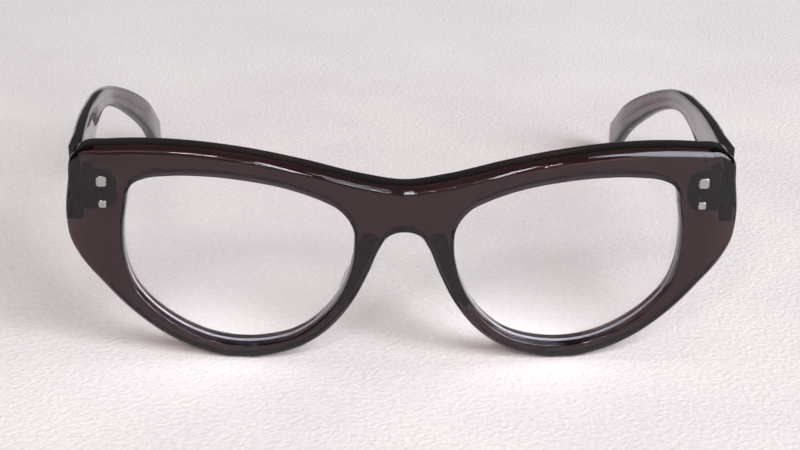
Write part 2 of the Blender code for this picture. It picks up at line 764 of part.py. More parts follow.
def make_leaf(name, length, height, rows, rivet_spots, place, parts, cutters):
    """A hinge plate with its knuckles, drawn round the knuckle line and then put in place."""
    leaf = flat_solid(name, leaf_outline(length, height, 0.0, 0.0), -LEAF_THICKNESS, 0.0, parts)
    combine(leaf, [knuckle(f"{name}_knuckle", row, cutters) for row in rows], "UNION")
    reach = STACK_HALF + OVERRUN
    axis_low = (0.0, HINGE_STANDOFF, -reach)
    axis_high = (0.0, HINGE_STANDOFF, reach)
    holes = [cylinder("screw_hole", SCREW_RADIUS + SEAT_GAP, axis_low, axis_high, ROUND_SIDES, cutters)]
    for along, up in rivet_spots:
        front = (along, -LEAF_THICKNESS - OVERRUN, up)
        back = (along, OVERRUN, up)
        holes.append(cylinder("rivet_hole", SHANK_RADIUS + SEAT_GAP, front, back, SHANK_SIDES, cutters))
    combine(leaf, holes, "DIFFERENCE")
    leaf.data.transform(place)
    return leaf


def make_front_hinge(parts, cutters, carrier):
    spots = [(-FRONT_RIVET_INSET, z - HINGE_Z) for _, _, z in FRONT_RIVETS]
    place = Matrix.Translation((HINGE_X, BUTT_Y, HINGE_Z))
    leaf = make_leaf("front_hinge_left", FRONT_LEAF_LENGTH, FRONT_LEAF_HEIGHT, (0, 2, 4), spots, place,
                     parts, cutters)
    return finish(leaf, "nickel_silver", carrier, HINGE_PLACE)


def make_temple_hinge(parts, cutters, carrier):
    spots = [(HINGE_Y - y, 0.0) for _, _, y in TEMPLE_RIVETS]
    leaf = make_leaf("temple_hinge_left", TEMPLE_LEAF_LENGTH, TEMPLE_LEAF_HEIGHT, (1, 3), spots,
                     temple_leaf_place(), parts, cutters)
    return finish(leaf, "nickel_silver", carrier, HINGE_PLACE)


def make_screw(parts, cutters, carrier):
    """A slotted screw whose head sits on the top knuckle."""
    head_low = STACK_HALF + SEAT_GAP
    head_high = head_low + SCREW_HEAD_HEIGHT
    foot = (0.0, 0.0, -STACK_HALF)
    head_foot = (0.0, 0.0, head_low)
    head_middle = (0.0, 0.0, 0.5 * (head_low + head_high))
    head_top = (0.0, 0.0, head_high)
    shaft = cylinder("hinge_screw_left", SCREW_RADIUS, foot, head_middle, ROUND_SIDES, parts)
    head = cylinder("screw_head", SCREW_HEAD_RADIUS, head_foot, head_top, ROUND_SIDES, cutters)
    combine(shaft, [head], "UNION")
    half_length = SCREW_HEAD_RADIUS + OVERRUN
    half_width = 0.5 * SCREW_SLOT_WIDTH
    slot_low = (-half_length, -half_width, head_high - SCREW_SLOT_DEPTH)
    slot_high = (half_length, half_width, head_high + OVERRUN)
    combine(shaft, [box("slot", slot_low, slot_high, cutters)], "DIFFERENCE")
    shaft.data.transform(Matrix.Translation(HINGE_PLACE))
    return finish(shaft, "screw_steel", carrier, HINGE_PLACE)


# Rivets

def make_front_rivet(name, width, z, parts, cutters, carrier):
    """Square head in the front's face, shank through the plate, and a button closed over it."""
    outline = head_outline(width, FRONT_RIVET_X, z, 0.0)
    rivet = flat_solid(name + "_left", outline, -HEAD_PROUD, HEAD_THICKNESS, parts)
    for vert in rivet.data.vertices:
        vert.co.y += face_curve(vert.co.x)
    face = face_curve(FRONT_RIVET_X)
    foot = BUTT_Y + SEAT_GAP
    head_middle = (FRONT_RIVET_X, face + 0.5 * HEAD_THICKNESS, z)
    button_low = (FRONT_RIVET_X, foot, z)
    button_middle = (FRONT_RIVET_X, foot + 0.5 * BUTTON_HEIGHT, z)
    button_high = (FRONT_RIVET_X, foot + BUTTON_HEIGHT, z)
    shank = cylinder("shank", SHANK_RADIUS, head_middle, button_middle, SHANK_SIDES, cutters)
    button = cylinder("button", BUTTON_RADIUS, button_low, button_high, SHANK_SIDES, cutters)
    combine(rivet, [shank, button], "UNION")
    return finish(rivet, "nickel_silver", carrier, (FRONT_RIVET_X, face, z))


def make_temple_rivet(name, width, y, parts, cutters, carrier):
    outline = head_outline(width, y, HINGE_Z, 0.0)
    rivet = flat_solid(name + "_left", outline, -HEAD_THICKNESS, HEAD_PROUD, parts)
    rivet.data.transform(outer_face_place())
    foot = TEMPLE_INNER_X - SEAT_GAP
    head_middle = (TEMPLE_INNER_X + TEMPLE_THICKNESS - 0.5 * HEAD_THICKNESS, y, HINGE_Z)
    button_low = (foot, y, HINGE_Z)
    button_middle = (foot - 0.5 * BUTTON_HEIGHT, y, HINGE_Z)
    button_high = (foot - BUTTON_HEIGHT, y, HINGE_Z)
    shank = cylinder("shank", SHANK_RADIUS, head_middle, button_middle, SHANK_SIDES, cutters)
    button = cylinder("button", BUTTON_RADIUS, button_low, button_high, SHANK_SIDES, cutters)
    combine(rivet, [shank, button], "UNION")
    return finish(rivet, "nickel_silver", carrier, HINGE_PLACE)


def overall_depth():
    return max(point[1] for ring in temple_rings() for point in ring)


def main():
    clear_scene()
    parts = new_collection("eyeglass_frame")
    cutters = new_collection("cutters")
    make_materials()
    root, _ = make_carrier("eyeglass_frame_origin", (0.0, -0.5 * overall_depth(), 0.0), None, parts)
    front = (root, Vector((0.0, 0.0, 0.0)))
    left = make_carrier("temple_pivot_left", HINGE_PLACE, root, parts)
    right_place = (-HINGE_X, HINGE_Y, HINGE_Z)
    right = make_carrier("temple_pivot_right", right_place, root, parts)
    make_front(parts, cutters, front)
    fixed = [
        make_lens(parts, front),
        make_nose_pad(parts, front),
        make_front_hinge(parts, cutters, front),
        make_screw(parts, cutters, front),
    ]
    for name, width, z in FRONT_RIVETS:
        fixed.append(make_front_rivet(name, width, z, parts, cutters, front))
    swinging = [
        make_temple(parts, cutters, left),
        make_core_wire(parts, left),
        make_temple_hinge(parts, cutters, left),
    ]
    for name, width, y in TEMPLE_RIVETS:
        swinging.append(make_temple_rivet(name, width, y, parts, cutters, left))
    for piece in fixed:
        mirrored(piece, front, parts)
    for piece in swinging:
        mirrored(piece, right, parts)


main()
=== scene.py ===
"""Looks of the acetate eyeglass frame: front, lenses, pads, temples, hinges and rivets.

Metres. The pieces are drawn with the front's foremost plane at Y zero and then moved onto the frame.
"""

import math

import bmesh
import bpy
from mathutils import Matrix, Vector


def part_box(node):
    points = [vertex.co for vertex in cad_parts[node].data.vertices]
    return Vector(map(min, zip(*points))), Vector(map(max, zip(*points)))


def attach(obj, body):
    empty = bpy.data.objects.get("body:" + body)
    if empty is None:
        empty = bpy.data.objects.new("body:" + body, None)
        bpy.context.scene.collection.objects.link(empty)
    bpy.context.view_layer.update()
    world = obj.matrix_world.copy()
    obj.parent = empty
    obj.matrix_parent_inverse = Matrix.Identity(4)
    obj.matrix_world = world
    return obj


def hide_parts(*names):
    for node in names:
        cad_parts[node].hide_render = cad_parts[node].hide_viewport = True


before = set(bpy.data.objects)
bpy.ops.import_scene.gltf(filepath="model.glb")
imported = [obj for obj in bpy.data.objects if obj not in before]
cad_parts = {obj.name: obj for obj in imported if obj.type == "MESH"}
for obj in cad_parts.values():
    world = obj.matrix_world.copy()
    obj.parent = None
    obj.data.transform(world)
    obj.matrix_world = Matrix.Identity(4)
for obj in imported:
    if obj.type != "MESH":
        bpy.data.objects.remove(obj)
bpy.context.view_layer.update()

# Lens openings, and what the front has beside, between, below and above them
OPENING_WIDTH = 0.0502
OPENING_HEIGHT = 0.0394
BRIDGE_WIDTH = 0.0214
ENDPIECE_WIDTH = 0.0121
RIM_HEIGHT = 0.0033
BROW_HEIGHT = 0.0063
HALF_WIDTH = 0.5 * BRIDGE_WIDTH + OPENING_WIDTH + ENDPIECE_WIDTH
FRONT_HEIGHT = RIM_HEIGHT + OPENING_HEIGHT + BROW_HEIGHT

# Front
FRONT_THICKNESS = 0.0062
FACE_CURVE_RADIUS = 0.450
ENDPIECE_THICKNESS = 0.0051
BROW_ROUNDING = 0.0021
RIM_ROUNDING = 0.0012
SMALL_ROUNDING = 0.0004
ARCH_ROUNDING = 0.0006
CORNER_ROUNDING = 0.0010

# Lenses and their grooves
LENS_SETBACK = 0.0029
LENS_BEVEL = 0.0007
LENS_EDGE_LAND = 0.0003
LENS_GAP = 0.0001
GROOVE_LIP = 0.0009
GROOVE_FLOOR = 0.0002
# Width of the strip of flat face beside each rounded edge, which keeps the flats' shading flat
FLAT_STRIP = 0.00025

# Nose pads
PAD_DEPTH = 0.0044
PAD_GAP = 0.00005

# Temples
TEMPLE_REACH = 0.1250
TEMPLE_THICKNESS = 0.0030
TEMPLE_INSET = 0.0005
BUTT_HEIGHT = 0.0166
BOW = 0.0046
TEMPLE_ROUNDING = 0.0009
TEMPLE_OUTER_ROUNDING = 0.0015
TIP_LENGTH = 0.0040
TIP_END_ROUNDING = 0.0030
# How far the straight start of a temple stands outward, with the plate and rivets on it
TEMPLE_SPLAY = math.radians(6.0)
# How far the tips twist, so that their lower edges lie nearer to the head
TIP_TWIST = math.radians(5.0)

# Core wires
CORE_RADIUS = 0.0006
CORE_DROP = 0.0056
CORE_SETBACK = 0.0002

# Hinges, screws and rivets
KNUCKLE_RADIUS = 0.00135
KNUCKLE_HEIGHT = 0.0017
LEAF_THICKNESS = 0.0009
FRONT_LEAF_LENGTH = 0.0063
FRONT_LEAF_HEIGHT = 0.0092
TEMPLE_LEAF_LENGTH = 0.0125
TEMPLE_LEAF_HEIGHT = 0.0072
LEAF_END_RADIUS = 0.0034
LEAF_CORNER_RADIUS = 0.0004
LEAF_EDGE_ROUNDING = 0.00012
LEAF_TRIM = 0.0002
SCREW_RADIUS = 0.00065
SCREW_HEAD_RADIUS = 0.00115
SCREW_HEAD_HEIGHT = 0.0007
SCREW_SLOT_WIDTH = 0.0003
SCREW_SLOT_DEPTH = 0.0003
LARGE_HEAD_WIDTH = 0.0023
SMALL_HEAD_WIDTH = 0.0017
HEAD_THICKNESS = 0.0007
HEAD_PROUD = 0.00015
SHANK_RADIUS = 0.0006
BUTTON_RADIUS = 0.00085
BUTTON_HEIGHT = 0.0003
FRONT_RIVET_INSET = 0.0033
UPPER_RIVET_RISE = 0.0031
LOWER_RIVET_DROP = 0.00205
TEMPLE_RIVET_START = 0.0046
TEMPLE_RIVET_SPACING = 0.0052
RUNNING_GAP = 0.0001
SEAT_GAP = 0.00005
# The acetate lies a hair behind the metal that is let into it, so that the two faces never coincide
HAIR = 0.00003
# Points nearer to each other than this are one
MERGE = 0.000001

# Marks on each metal: their width, how densely they lie along X, Y and Z, and their depth.
# Real ones are finer. They are drawn as coarse as they need to be to show.
WHEEL_MARKS = (0.0004, (1.0, 1.0, 0.25), 0.000004)
BARREL_MARKS = (0.0005, (1.0, 1.0, 1.0), 0.000001)
LATHE_MARKS = (0.0003, (1.0, 1.0, 5.0), 0.000005)
DRAWING_MARKS = (0.0004, (4.0, 0.2, 4.0), 0.000005)

# Patterns in the acetate and on the lenses. The grit is drawn coarser than real too.
CLOUD_WIDTH = 0.012
POLISH_WIDTH = 0.004
RIPPLE_WIDTH = 0.009
RIPPLE_DEPTH = 0.00002
WIPE_WIDTH = 0.010
WIPE_DENSITY = (1.0, 1.0, 0.35)
GRIT_WIDTH = 0.0003
GRIT_DEPTH = 0.00002

# The cloth: its patches, its nap, which is drawn a little coarse, and where painted light makes it paler
# towards the rear
PATCH_WIDTH = 0.060
NAP_WIDTH = 0.0012
NAP_DEPTH = 0.0002
PAINTED_LIGHT_START = 0.05
PAINTED_LIGHT_END = 0.45

# How strongly a metre of acetate takes up light, and how strongly acetate and lens resin bend it
ACETATE_DENSITY = 700.0
ACETATE_IOR = 1.47
RESIN_IOR = 1.498

# Floor. The cloth's nap gives a little under the frame.
FLOOR_REACH = 3.0
FLOOR_GAP = 0.00015

# Name, place, width, height, power and colour of each lamp. All of them point at one place.
LAMP_TARGET = (0.0, 0.0, 0.03)
LAMPS = (
    ("window", (1.76, -1.88, 1.46), 2.10, 2.80, 172.0, "EEF3FF"),
    ("far_window", (0.02, -1.20, 0.80), 0.10, 0.75, 3.6, "F2F6FF"),
    ("left_window", (-0.31, -1.10, 0.85), 0.19, 0.11, 2.4, "FFFFFF"),
    ("wall_strip", (-0.60, -1.10, 0.80), 1.20, 0.30, 1.8, "FFEDE2"),
    ("sill", (0.66, -1.10, 0.03), 0.95, 0.12, 1.3, "E8A46C"),
    ("low_red", (0.24, -1.25, 0.08), 0.24, 0.20, 0.4, "C05040"),
    ("spot_one", (-0.11, -1.20, 0.52), 0.09, 0.05, 0.5, "FFFFFF"),
    ("spot_two", (0.19, -1.20, 0.60), 0.06, 0.12, 0.7, "F2F6FF"),
)
SKY_COLOUR = "EAE2DE"
SKY_STRENGTH = 0.12

# Camera. The lens and the sensor are in millimetres, as a camera gives them.
LENS_LENGTH = 72.0
SENSOR_WIDTH = 36.0
CAMERA_DISTANCE = 0.342
CAMERA_MIDDLE = (-0.00107, 0.0, 0.0327)
CAMERA_NEAR = 0.01
CAMERA_YAW = math.radians(2.36)
CAMERA_PITCH = math.radians(22.5)
CAMERA_ROLL = math.radians(1.06)

# Half outline of the front as shares of its half width and height, and outline of an opening as shares of its
# width and height. Both run out along the brow and back along the lower rim.
OUTLINE_SHARES = (
    (0.000, 0.837), (0.123, 0.863), (0.295, 0.9245), (0.471, 0.9735), (0.630, 0.997),
    (0.753, 1.000), (0.870, 0.988), (0.945, 0.971), (0.974, 0.936), (0.989, 0.818),
    (1.000, 0.653), (0.992, 0.551), (0.962, 0.455), (0.8945, 0.331), (0.808, 0.200),
    (0.712, 0.096), (0.603, 0.0255), (0.493, -0.004), (0.397, 0.0153), (0.301, 0.0663),
    (0.219, 0.157), (0.151, 0.292), (0.104, 0.437), (0.0726, 0.551), (0.0507, 0.602),
    (0.026, 0.6224), (0.000, 0.6276),
)
OPENING_SHARES = (
    (0.0782, 0.835), (0.1355, 0.873), (0.275, 0.9365), (0.464, 0.982), (0.643, 1.000),
    (0.793, 0.9937), (0.894, 0.972), (0.946, 0.9365), (0.968, 0.891), (0.980, 0.810),
    (0.996, 0.678), (0.998, 0.576), (0.990, 0.462), (0.960, 0.340), (0.8825, 0.2107),
    (0.775, 0.1066), (0.643, 0.0305), (0.504, 0.0013), (0.3765, 0.014), (0.261, 0.0584),
    (0.1614, 0.1472), (0.0777, 0.279), (0.0259, 0.429), (0.0006, 0.600), (0.0067, 0.710),
    (0.0221, 0.755), (0.0412, 0.790),
)
# Foot of a nose pad, as shares of the front's half width and height
PAD_SHARES = (
    (0.074, 0.566), (0.094, 0.584), (0.118, 0.576), (0.138, 0.520), (0.150, 0.440),
    (0.171, 0.350), (0.197, 0.264), (0.194, 0.230), (0.172, 0.256), (0.139, 0.345),
    (0.107, 0.455), (0.079, 0.552),
)
# Layers of a nose pad as shares of its depth, of the foot's size and of the depth it leans outward
PAD_LAYER_SHARES = (
    (0.00, 1.00, 0.00), (0.22, 0.985, 0.01), (0.45, 0.95, 0.02), (0.64, 0.89, 0.04), (0.78, 0.80, 0.06),
    (0.89, 0.67, 0.08), (0.96, 0.50, 0.10), (0.99, 0.33, 0.11), (1.00, 0.16, 0.11),
)
# Temple line as shares of the reach, of the height at the hinge, of the butt height and of the bow
TEMPLE_SHARES = (
    (0.000, 1.000, 1.000, -0.031),
    (0.060, 0.993, 0.946, 0.1405),
    (0.130, 0.987, 0.861, 0.340),
    (0.218, 0.981, 0.735, 0.560),
    (0.386, 0.957, 0.464, 0.890),
    (0.545, 0.891, 0.330, 1.000),
    (0.638, 0.799, 0.330, 0.950),
    (0.722, 0.679, 0.355, 0.680),
    (0.806, 0.521, 0.430, 0.270),
    (0.898, 0.306, 0.525, -0.190),
    (1.000, 0.000, 0.610, -0.470),
)
# How high the middle of the tip stands, as a share of half its width
TIP_LIFT_SHARE = 1.06
# Shares of the reach where the temple has left its square butt, and where its twist starts
BUTT_SQUARE_SHARE = 0.10
TWIST_START_SHARE = 0.55
# Shares of the reach where the core wire leaves its low start, where it has joined the temple line,
# and where it ends
CORE_LOW_SHARE = 0.12
CORE_BLEND_SHARE = 0.45
CORE_END_SHARE = 0.92
# Heights of the middles of the hinge and the butt, as shares of the front's height
HINGE_HEIGHT_SHARE = 0.765
BUTT_CENTRE_SHARE = 0.784
# Shares of the front's height and half width between which the rounding of its edge changes
ROUNDING_LOW_SHARE = 0.30
ROUNDING_HIGH_SHARE = 0.60
ARCH_START_SHARE = 0.20
ARCH_END_SHARE = 0.10
ARCH_TOP_SHARE = 0.70
CORNER_START_SHARE = 0.90
CORNER_END_SHARE = 0.985
# Radius of a rivet head's corners, as a share of half its width
HEAD_CORNER_SHARE = 0.45
# Rows of a rivet head's crown, as shares of its size and of how far it stands proud
HEAD_CROWN_SHARES = (
    (1.000, 0.00), (0.985, 0.30), (0.955, 0.55), (0.91, 0.74), (0.84, 0.86), (0.70, 0.93), (0.50, 0.97),
    (0.30, 0.99), (0.10, 1.00),
)
# Rows of a rivet's button, as shares of its radius and height
BUTTON_SHARES = ((1.0, 0.0), (1.0, 0.4), (0.8, 0.8), (0.4, 1.0), (0.0, 1.0))
# Rows of a lens face, as shares of the way from its middle to its edge
LENS_FACE_SHARES = (0.02, 0.15, 0.30, 0.45, 0.60, 0.72, 0.83, 0.92, 0.97)
# A face of the lens whose normal has a smaller share than this along Y belongs to its ground edge
LENS_EDGE_TURN_SHARE = 0.9

# Steps along curves and round arcs
OUTLINE_STEPS = 9
TEMPLE_STEPS = 9
FACE_ROWS = 6
BROW_SEGMENTS = 8
SMALL_SEGMENTS = 3
CORNER_STEPS = 6
WIDE_CUTS = 4
NARROW_CUTS = 2
TIP_STEPS = 8
CORE_SIDES = 16
PAD_STEPS = 5
LEAF_STEPS = 8
LUG_STEPS = 24
EDGE_SEGMENTS = 2
SCREW_STEPS = 32
HEAD_STEPS = 5
STEM_STEPS = 24
# Edges sharper than the first show as edges, and those sharper than the second are rounded off
SHARP_ANGLE = math.radians(32.0)
EDGE_ANGLE = math.radians(60.0)

# Sockets of a Mix node that mixes colours: its factor, its two colours and what comes out
COLOURS = {"data_type": "RGBA"}
FACTOR = 0
FIRST = 6
SECOND = 7
MIXED = 2
# Noise seldom leaves this range, so a pattern is stretched over it
NOISE_RANGE = {"From Min": 0.3, "From Max": 0.7}


def face_curve(x):
    """How far back the bent front lies at a distance from its middle."""
    return x * x / (2.0 * FACE_CURVE_RADIUS)


HINGE_STANDOFF = KNUCKLE_RADIUS + RUNNING_GAP
TEMPLE_INNER_X = HALF_WIDTH - TEMPLE_INSET - TEMPLE_THICKNESS
TEMPLE_OUTER_X = TEMPLE_INNER_X + TEMPLE_THICKNESS
HINGE_X = TEMPLE_INNER_X - HINGE_STANDOFF
BUTT_Y = face_curve(HALF_WIDTH) + ENDPIECE_THICKNESS
HINGE_Y = BUTT_Y + HINGE_STANDOFF
HINGE_Z = FRONT_HEIGHT * HINGE_HEIGHT_SHARE
KNUCKLE_PITCH = KNUCKLE_HEIGHT + RUNNING_GAP
STACK_HALF = 2.0 * KNUCKLE_PITCH + 0.5 * KNUCKLE_HEIGHT
TEMPLE_START_Y = BUTT_Y + RUNNING_GAP
FRONT_RIVET_X = HINGE_X - FRONT_RIVET_INSET
# From the drawing's foremost plane to the frame's own
ONTO_FRAME = Matrix.Translation((0.0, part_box("front")[0][1], 0.0))
MIRROR_X = Matrix.Scale(-1.0, 4, (1.0, 0.0, 0.0))


# Curves through chosen points

def way_between(value, start, end):
    """How much of the way from start to end a value has gone, from none to all."""
    return min(max((value - start) / (end - start), 0.0), 1.0)


def centre_of(points):
    return sum(points, Vector((0.0, 0.0))) / len(points)


def smooth_course(points, before, after, steps):
    """A smooth curve through the points, where before and after are its unseen neighbours."""
    chain = [Vector(point) for point in (before, *points, after)]
    gaps = [(b.xy - a.xy).length for a, b in zip(chain, chain[1:])]
    course = []
    for i in range(1, len(chain) - 2):
        start_slope = course_slope(chain, gaps, i) * gaps[i]
        end_slope = course_slope(chain, gaps, i + 1) * gaps[i]
        for step in range(steps):
            course.append(hermite(chain[i], chain[i + 1], start_slope, end_slope, step / steps))
    course.append(chain[-2])
    return course


def course_slope(chain, gaps, i):
    back = (chain[i] - chain[i - 1]) / gaps[i - 1]
    ahead = (chain[i + 1] - chain[i]) / gaps[i]
    return (back * gaps[i] + ahead * gaps[i - 1]) / (gaps[i - 1] + gaps[i])


def hermite(start, end, start_slope, end_slope, t):
    return (
        start * (2 * t ** 3 - 3 * t ** 2 + 1)
        + end * (3 * t ** 2 - 2 * t ** 3)
        + start_slope * (t ** 3 - 2 * t ** 2 + t)
        + end_slope * (t ** 3 - t ** 2)
    )


def closed_course(points, steps):
    return smooth_course([*points, points[0]], points[-1], points[1], steps)[:-1]


def half_outline():
    """Outline of one half of the front, from the top of the bridge round to its underside."""
    points = [(x * HALF_WIDTH, z * FRONT_HEIGHT) for x, z in OUTLINE_SHARES]
    before = (-points[1][0], points[1][1])
    after = (-points[-2][0], points[-2][1])
    outline = smooth_course(points, before, after, OUTLINE_STEPS)
    for point in outline:
        point.y = max(point.y, 0.0)
    return outline


def opening_outline():
    nasal = 0.5 * BRIDGE_WIDTH
    points = [(nasal + x * OPENING_WIDTH, RIM_HEIGHT + z * OPENING_HEIGHT) for x, z in OPENING_SHARES]
    return closed_course(points, OUTLINE_STEPS)


def outward_normals(loop):
    """Directions square to a clockwise closed outline, pointing away from what it goes round."""
    normals = []
    for i in range(len(loop)):
        along = (loop[(i + 1) % len(loop)] - loop[i - 1]).normalized()
        normals.append(Vector((-along.y, along.x)))
    return normals


def half_normals(outline):
    """The same for a half outline, whose ends lie on the middle plane and point straight up and down."""
    normals = outward_normals(outline)
    normals[0], normals[-1] = Vector((0.0, 1.0)), Vector((0.0, -1.0))
    return normals


def shifted(outline, normals, distance):
    return [point + normal * distance for point, normal in zip(outline, normals)]


# Meshes

def verts_of(geometry):
    return [item for item in geometry if isinstance(item, bmesh.types.BMVert)]


def edges_of(geometry):
    return [item for item in geometry if isinstance(item, bmesh.types.BMEdge)]


def pairs_of(row, closed):
    return list(zip(row, row[1:] + row[:1])) if closed else list(zip(row, row[1:]))


def start_row(bm, points, closed=True):
    """A row of vertices joined by edges."""
    row = [bm.verts.new(point) for point in points]
    for pair in pairs_of(row, closed):
        bm.edges.new(pair)
    return row


def next_row(bm, row, points, closed=True):
    """Extrudes a row onto new places."""
    edges = [bm.edges.get(pair) for pair in pairs_of(row, closed)]
    grown = set(verts_of(bmesh.ops.extrude_edge_only(bm, edges=edges)["geom"]))
    new_row = []
    for vert, point in zip(row, points):
        neighbours = [edge.other_vert(vert) for edge in vert.link_edges]
        copy = next(neighbour for neighbour in neighbours if neighbour in grown)
        copy.co = point
        new_row.append(copy)
    return new_row


def close_row(bm, row):
    bmesh.ops.contextual_create(bm, geom=[bm.edges.get(pair) for pair in pairs_of(row, True)])


def stacked(bm, rows):
    """A closed solid through closed rows, capped at both ends."""
    row = start_row(bm, rows[0])
    close_row(bm, row)
    for points in rows[1:]:
        row = next_row(bm, row, points)
    close_row(bm, row)
    bmesh.ops.remove_doubles(bm, verts=bm.verts, dist=MERGE)


def rounded_rectangle(left, right, low, high, left_radius, right_radius, steps):
    """A rectangle whose left and right corners have their own radii."""
    corners = (
        (right - right_radius, high - right_radius, right_radius, 0.0),
        (left + left_radius, high - left_radius, left_radius, 0.5 * math.pi),
        (left + left_radius, low + left_radius, left_radius, math.pi),
        (right - right_radius, low + right_radius, right_radius, 1.5 * math.pi),
    )
    points = []
    for x, z, radius, start in corners:
        for step in range(steps + 1):
            angle = start + 0.5 * math.pi * step / steps
            points.append((x + radius * math.cos(angle), z + radius * math.sin(angle)))
    return points


def slab(bm, points, front_y, back_y):
    """An outline in the XZ plane made solid between two depths."""
    stacked(bm, [[(x, y, z) for x, z in points] for y in (front_y, back_y)])


def turned(bm, profile, steps):
    """Spins a profile of radius and height about the Z axis."""
    verts = [bm.verts.new((radius, 0.0, height)) for radius, height in profile]
    edges = [bm.edges.new(pair) for pair in zip(verts, verts[1:])]
    bmesh.ops.spin(bm, geom=verts + edges, axis=(0.0, 0.0, 1.0), cent=(0.0, 0.0, 0.0),
                   angle=2.0 * math.pi, steps=steps, use_merge=True)
    bmesh.ops.remove_doubles(bm, verts=bm.verts, dist=MERGE)


def round_off(bm, width):
    """Rounds every sharp edge of a small metal piece."""
    edges = [edge for edge in bm.edges if edge.is_manifold and edge.calc_face_angle() > EDGE_ANGLE]
    bmesh.ops.bevel(bm, geom=edges, offset=width, offset_type="OFFSET", affect="EDGES", profile=0.5,
                    segments=EDGE_SEGMENTS, clamp_overlap=True, material=-1)


def bend_to_face(bm):
    for vert in bm.verts:
        vert.co.y += face_curve(vert.co.x)


def made_object(name, bm, place=Matrix()):
    """A finished mesh, moved onto the frame, with smooth faces and sharp corners."""
    bmesh.ops.recalc_face_normals(bm, faces=bm.faces)
    for face in bm.faces:
        face.smooth = True
    for edge in bm.edges:
        if not edge.is_manifold or edge.calc_face_angle() > SHARP_ANGLE:
            edge.smooth = False
    mesh = bpy.data.meshes.new(name)
    bm.to_mesh(mesh)
    bm.free()
    mesh.transform(ONTO_FRAME @ place)
    obj = bpy.data.objects.new(name, mesh)
    bpy.context.scene.collection.objects.link(obj)
    return obj


def other_side(obj):
    """The same piece for the wearer's right."""
    mesh = obj.data.copy()
    mesh.transform(MIRROR_X)
    mesh.flip_normals()
    twin = bpy.data.objects.new(obj.name.replace("_left", "_right"), mesh)
    bpy.context.scene.collection.objects.link(twin)
    return twin


def settle(obj, body, materials):
    """Puts a piece on its body in place of the node that it is named for."""
    for material in materials:
        obj.data.materials.append(material)
    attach(obj, body)
    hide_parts(obj.name.replace("visual_", ""))


def settle_both(obj, body, materials):
    """Settles a left piece and its twin, and fills in the side where the body's name leaves it open."""
    twin = other_side(obj)
    settle(obj, body.format("left"), materials)
    settle(twin, body.format("right"), materials)


# Front

def front_rounding(point):
    """Radius of the front edge: largest at the brow, smaller at the lower rim, bridge and outer corners."""
    across, up = point.x / HALF_WIDTH, point.y / FRONT_HEIGHT
    if up < ARCH_TOP_SHARE and across < ARCH_START_SHARE:
        inward = way_between(across, ARCH_START_SHARE, ARCH_END_SHARE)
        return RIM_ROUNDING + (ARCH_ROUNDING - RIM_ROUNDING) * inward
    climb = way_between(up, ROUNDING_LOW_SHARE, ROUNDING_HIGH_SHARE)
    radius = RIM_ROUNDING + (BROW_ROUNDING - RIM_ROUNDING) * climb
    outward = way_between(across, CORNER_START_SHARE, CORNER_END_SHARE)
    return radius + (CORNER_ROUNDING - radius) * outward


def rounded_stations(radius, depth, inward, segments):
    """Depth and offset along a rounded edge, from a flat into the wall beside it or back out of it.

    Inward is true where the wall is entered from the front face.
    """
    stations = []
    for step in range(segments + 1):
        angle = 0.5 * math.pi * step / segments
        if inward:
            stations.append((depth + radius * (1.0 - math.cos(angle)), radius * (1.0 - math.sin(angle))))
        else:
            stations.append((depth - radius * (1.0 - math.sin(angle)), radius * (1.0 - math.cos(angle))))
    return stations


def flat_points(outline, depth):
    return [(point.x, depth, point.y) for point in outline]


def face_border(outline, normals, radii):
    """Border of the flat on one half of a face, closed along the middle plane."""
    places = zip(outline, normals, radii)
    border = [point - normal * (radius + FLAT_STRIP) for point, normal, radius in places]
    high, low = border[0], border[-1]
    return border + [low.lerp(high, step / OUTLINE_STEPS) for step in range(1, OUTLINE_STEPS)]


def opening_stations():
    """Depth and offset across the wall of an opening, with the sloping groove for the lens."""
    groove = [
        (LENS_SETBACK - GROOVE_LIP, 0.0),
        (LENS_SETBACK - GROOVE_FLOOR, LENS_BEVEL),
        (LENS_SETBACK + GROOVE_FLOOR, LENS_BEVEL),
        (LENS_SETBACK + GROOVE_LIP, 0.0),
    ]
    front = rounded_stations(SMALL_ROUNDING, 0.0, True, SMALL_SEGMENTS)
    back = rounded_stations(SMALL_ROUNDING, FRONT_THICKNESS, False, SMALL_SEGMENTS)
    return front + groove + back


def faces_and_opening(bm, outline, out, brow_radii):
    """Closed rows over the front face, through the opening and over the back face. Gives the first row."""
    opening = opening_outline()
    around = outward_normals(opening)
    front_border = face_border(outline, out, brow_radii)
    back_border = face_border(outline, out, [SMALL_ROUNDING] * len(outline))
    opening_border = shifted(opening, around, SMALL_ROUNDING + FLAT_STRIP)
    shares = [row / FACE_ROWS for row in range(1, FACE_ROWS + 1)]
    first = start_row(bm, flat_points(front_border, 0.0))
    row = first
    for share in shares:
        between = [a.lerp(b, share) for a, b in zip(front_border, opening_border)]
        row = next_row(bm, row, flat_points(between, 0.0))
    for depth, offset in opening_stations():
        row = next_row(bm, row, flat_points(shifted(opening, around, offset), depth))
    for share in [0.0, *shares]:
        between = [a.lerp(b, share) for a, b in zip(opening_border, back_border)]
        row = next_row(bm, row, flat_points(between, FRONT_THICKNESS))
    return first


def outer_wall(bm, row, outline, out, brow_radii):
    """Open rows from the front face over its rounded edge, across the wall and onto the back face."""
    for step in range(BROW_SEGMENTS + 1):
        angle = 0.5 * math.pi * step / BROW_SEGMENTS
        inset, sunk = 1.0 - math.sin(angle), 1.0 - math.cos(angle)
        points = []
        for point, normal, radius in zip(outline, out, brow_radii):
            flat = point - normal * radius * inset
            points.append((flat.x, radius * sunk, flat.y))
        row = next_row(bm, row, points, closed=False)
    stations = rounded_stations(SMALL_ROUNDING, FRONT_THICKNESS, False, SMALL_SEGMENTS)
    for depth, offset in stations + [(FRONT_THICKNESS, SMALL_ROUNDING + FLAT_STRIP)]:
        row = next_row(bm, row, flat_points(shifted(outline, out, -offset), depth), closed=False)


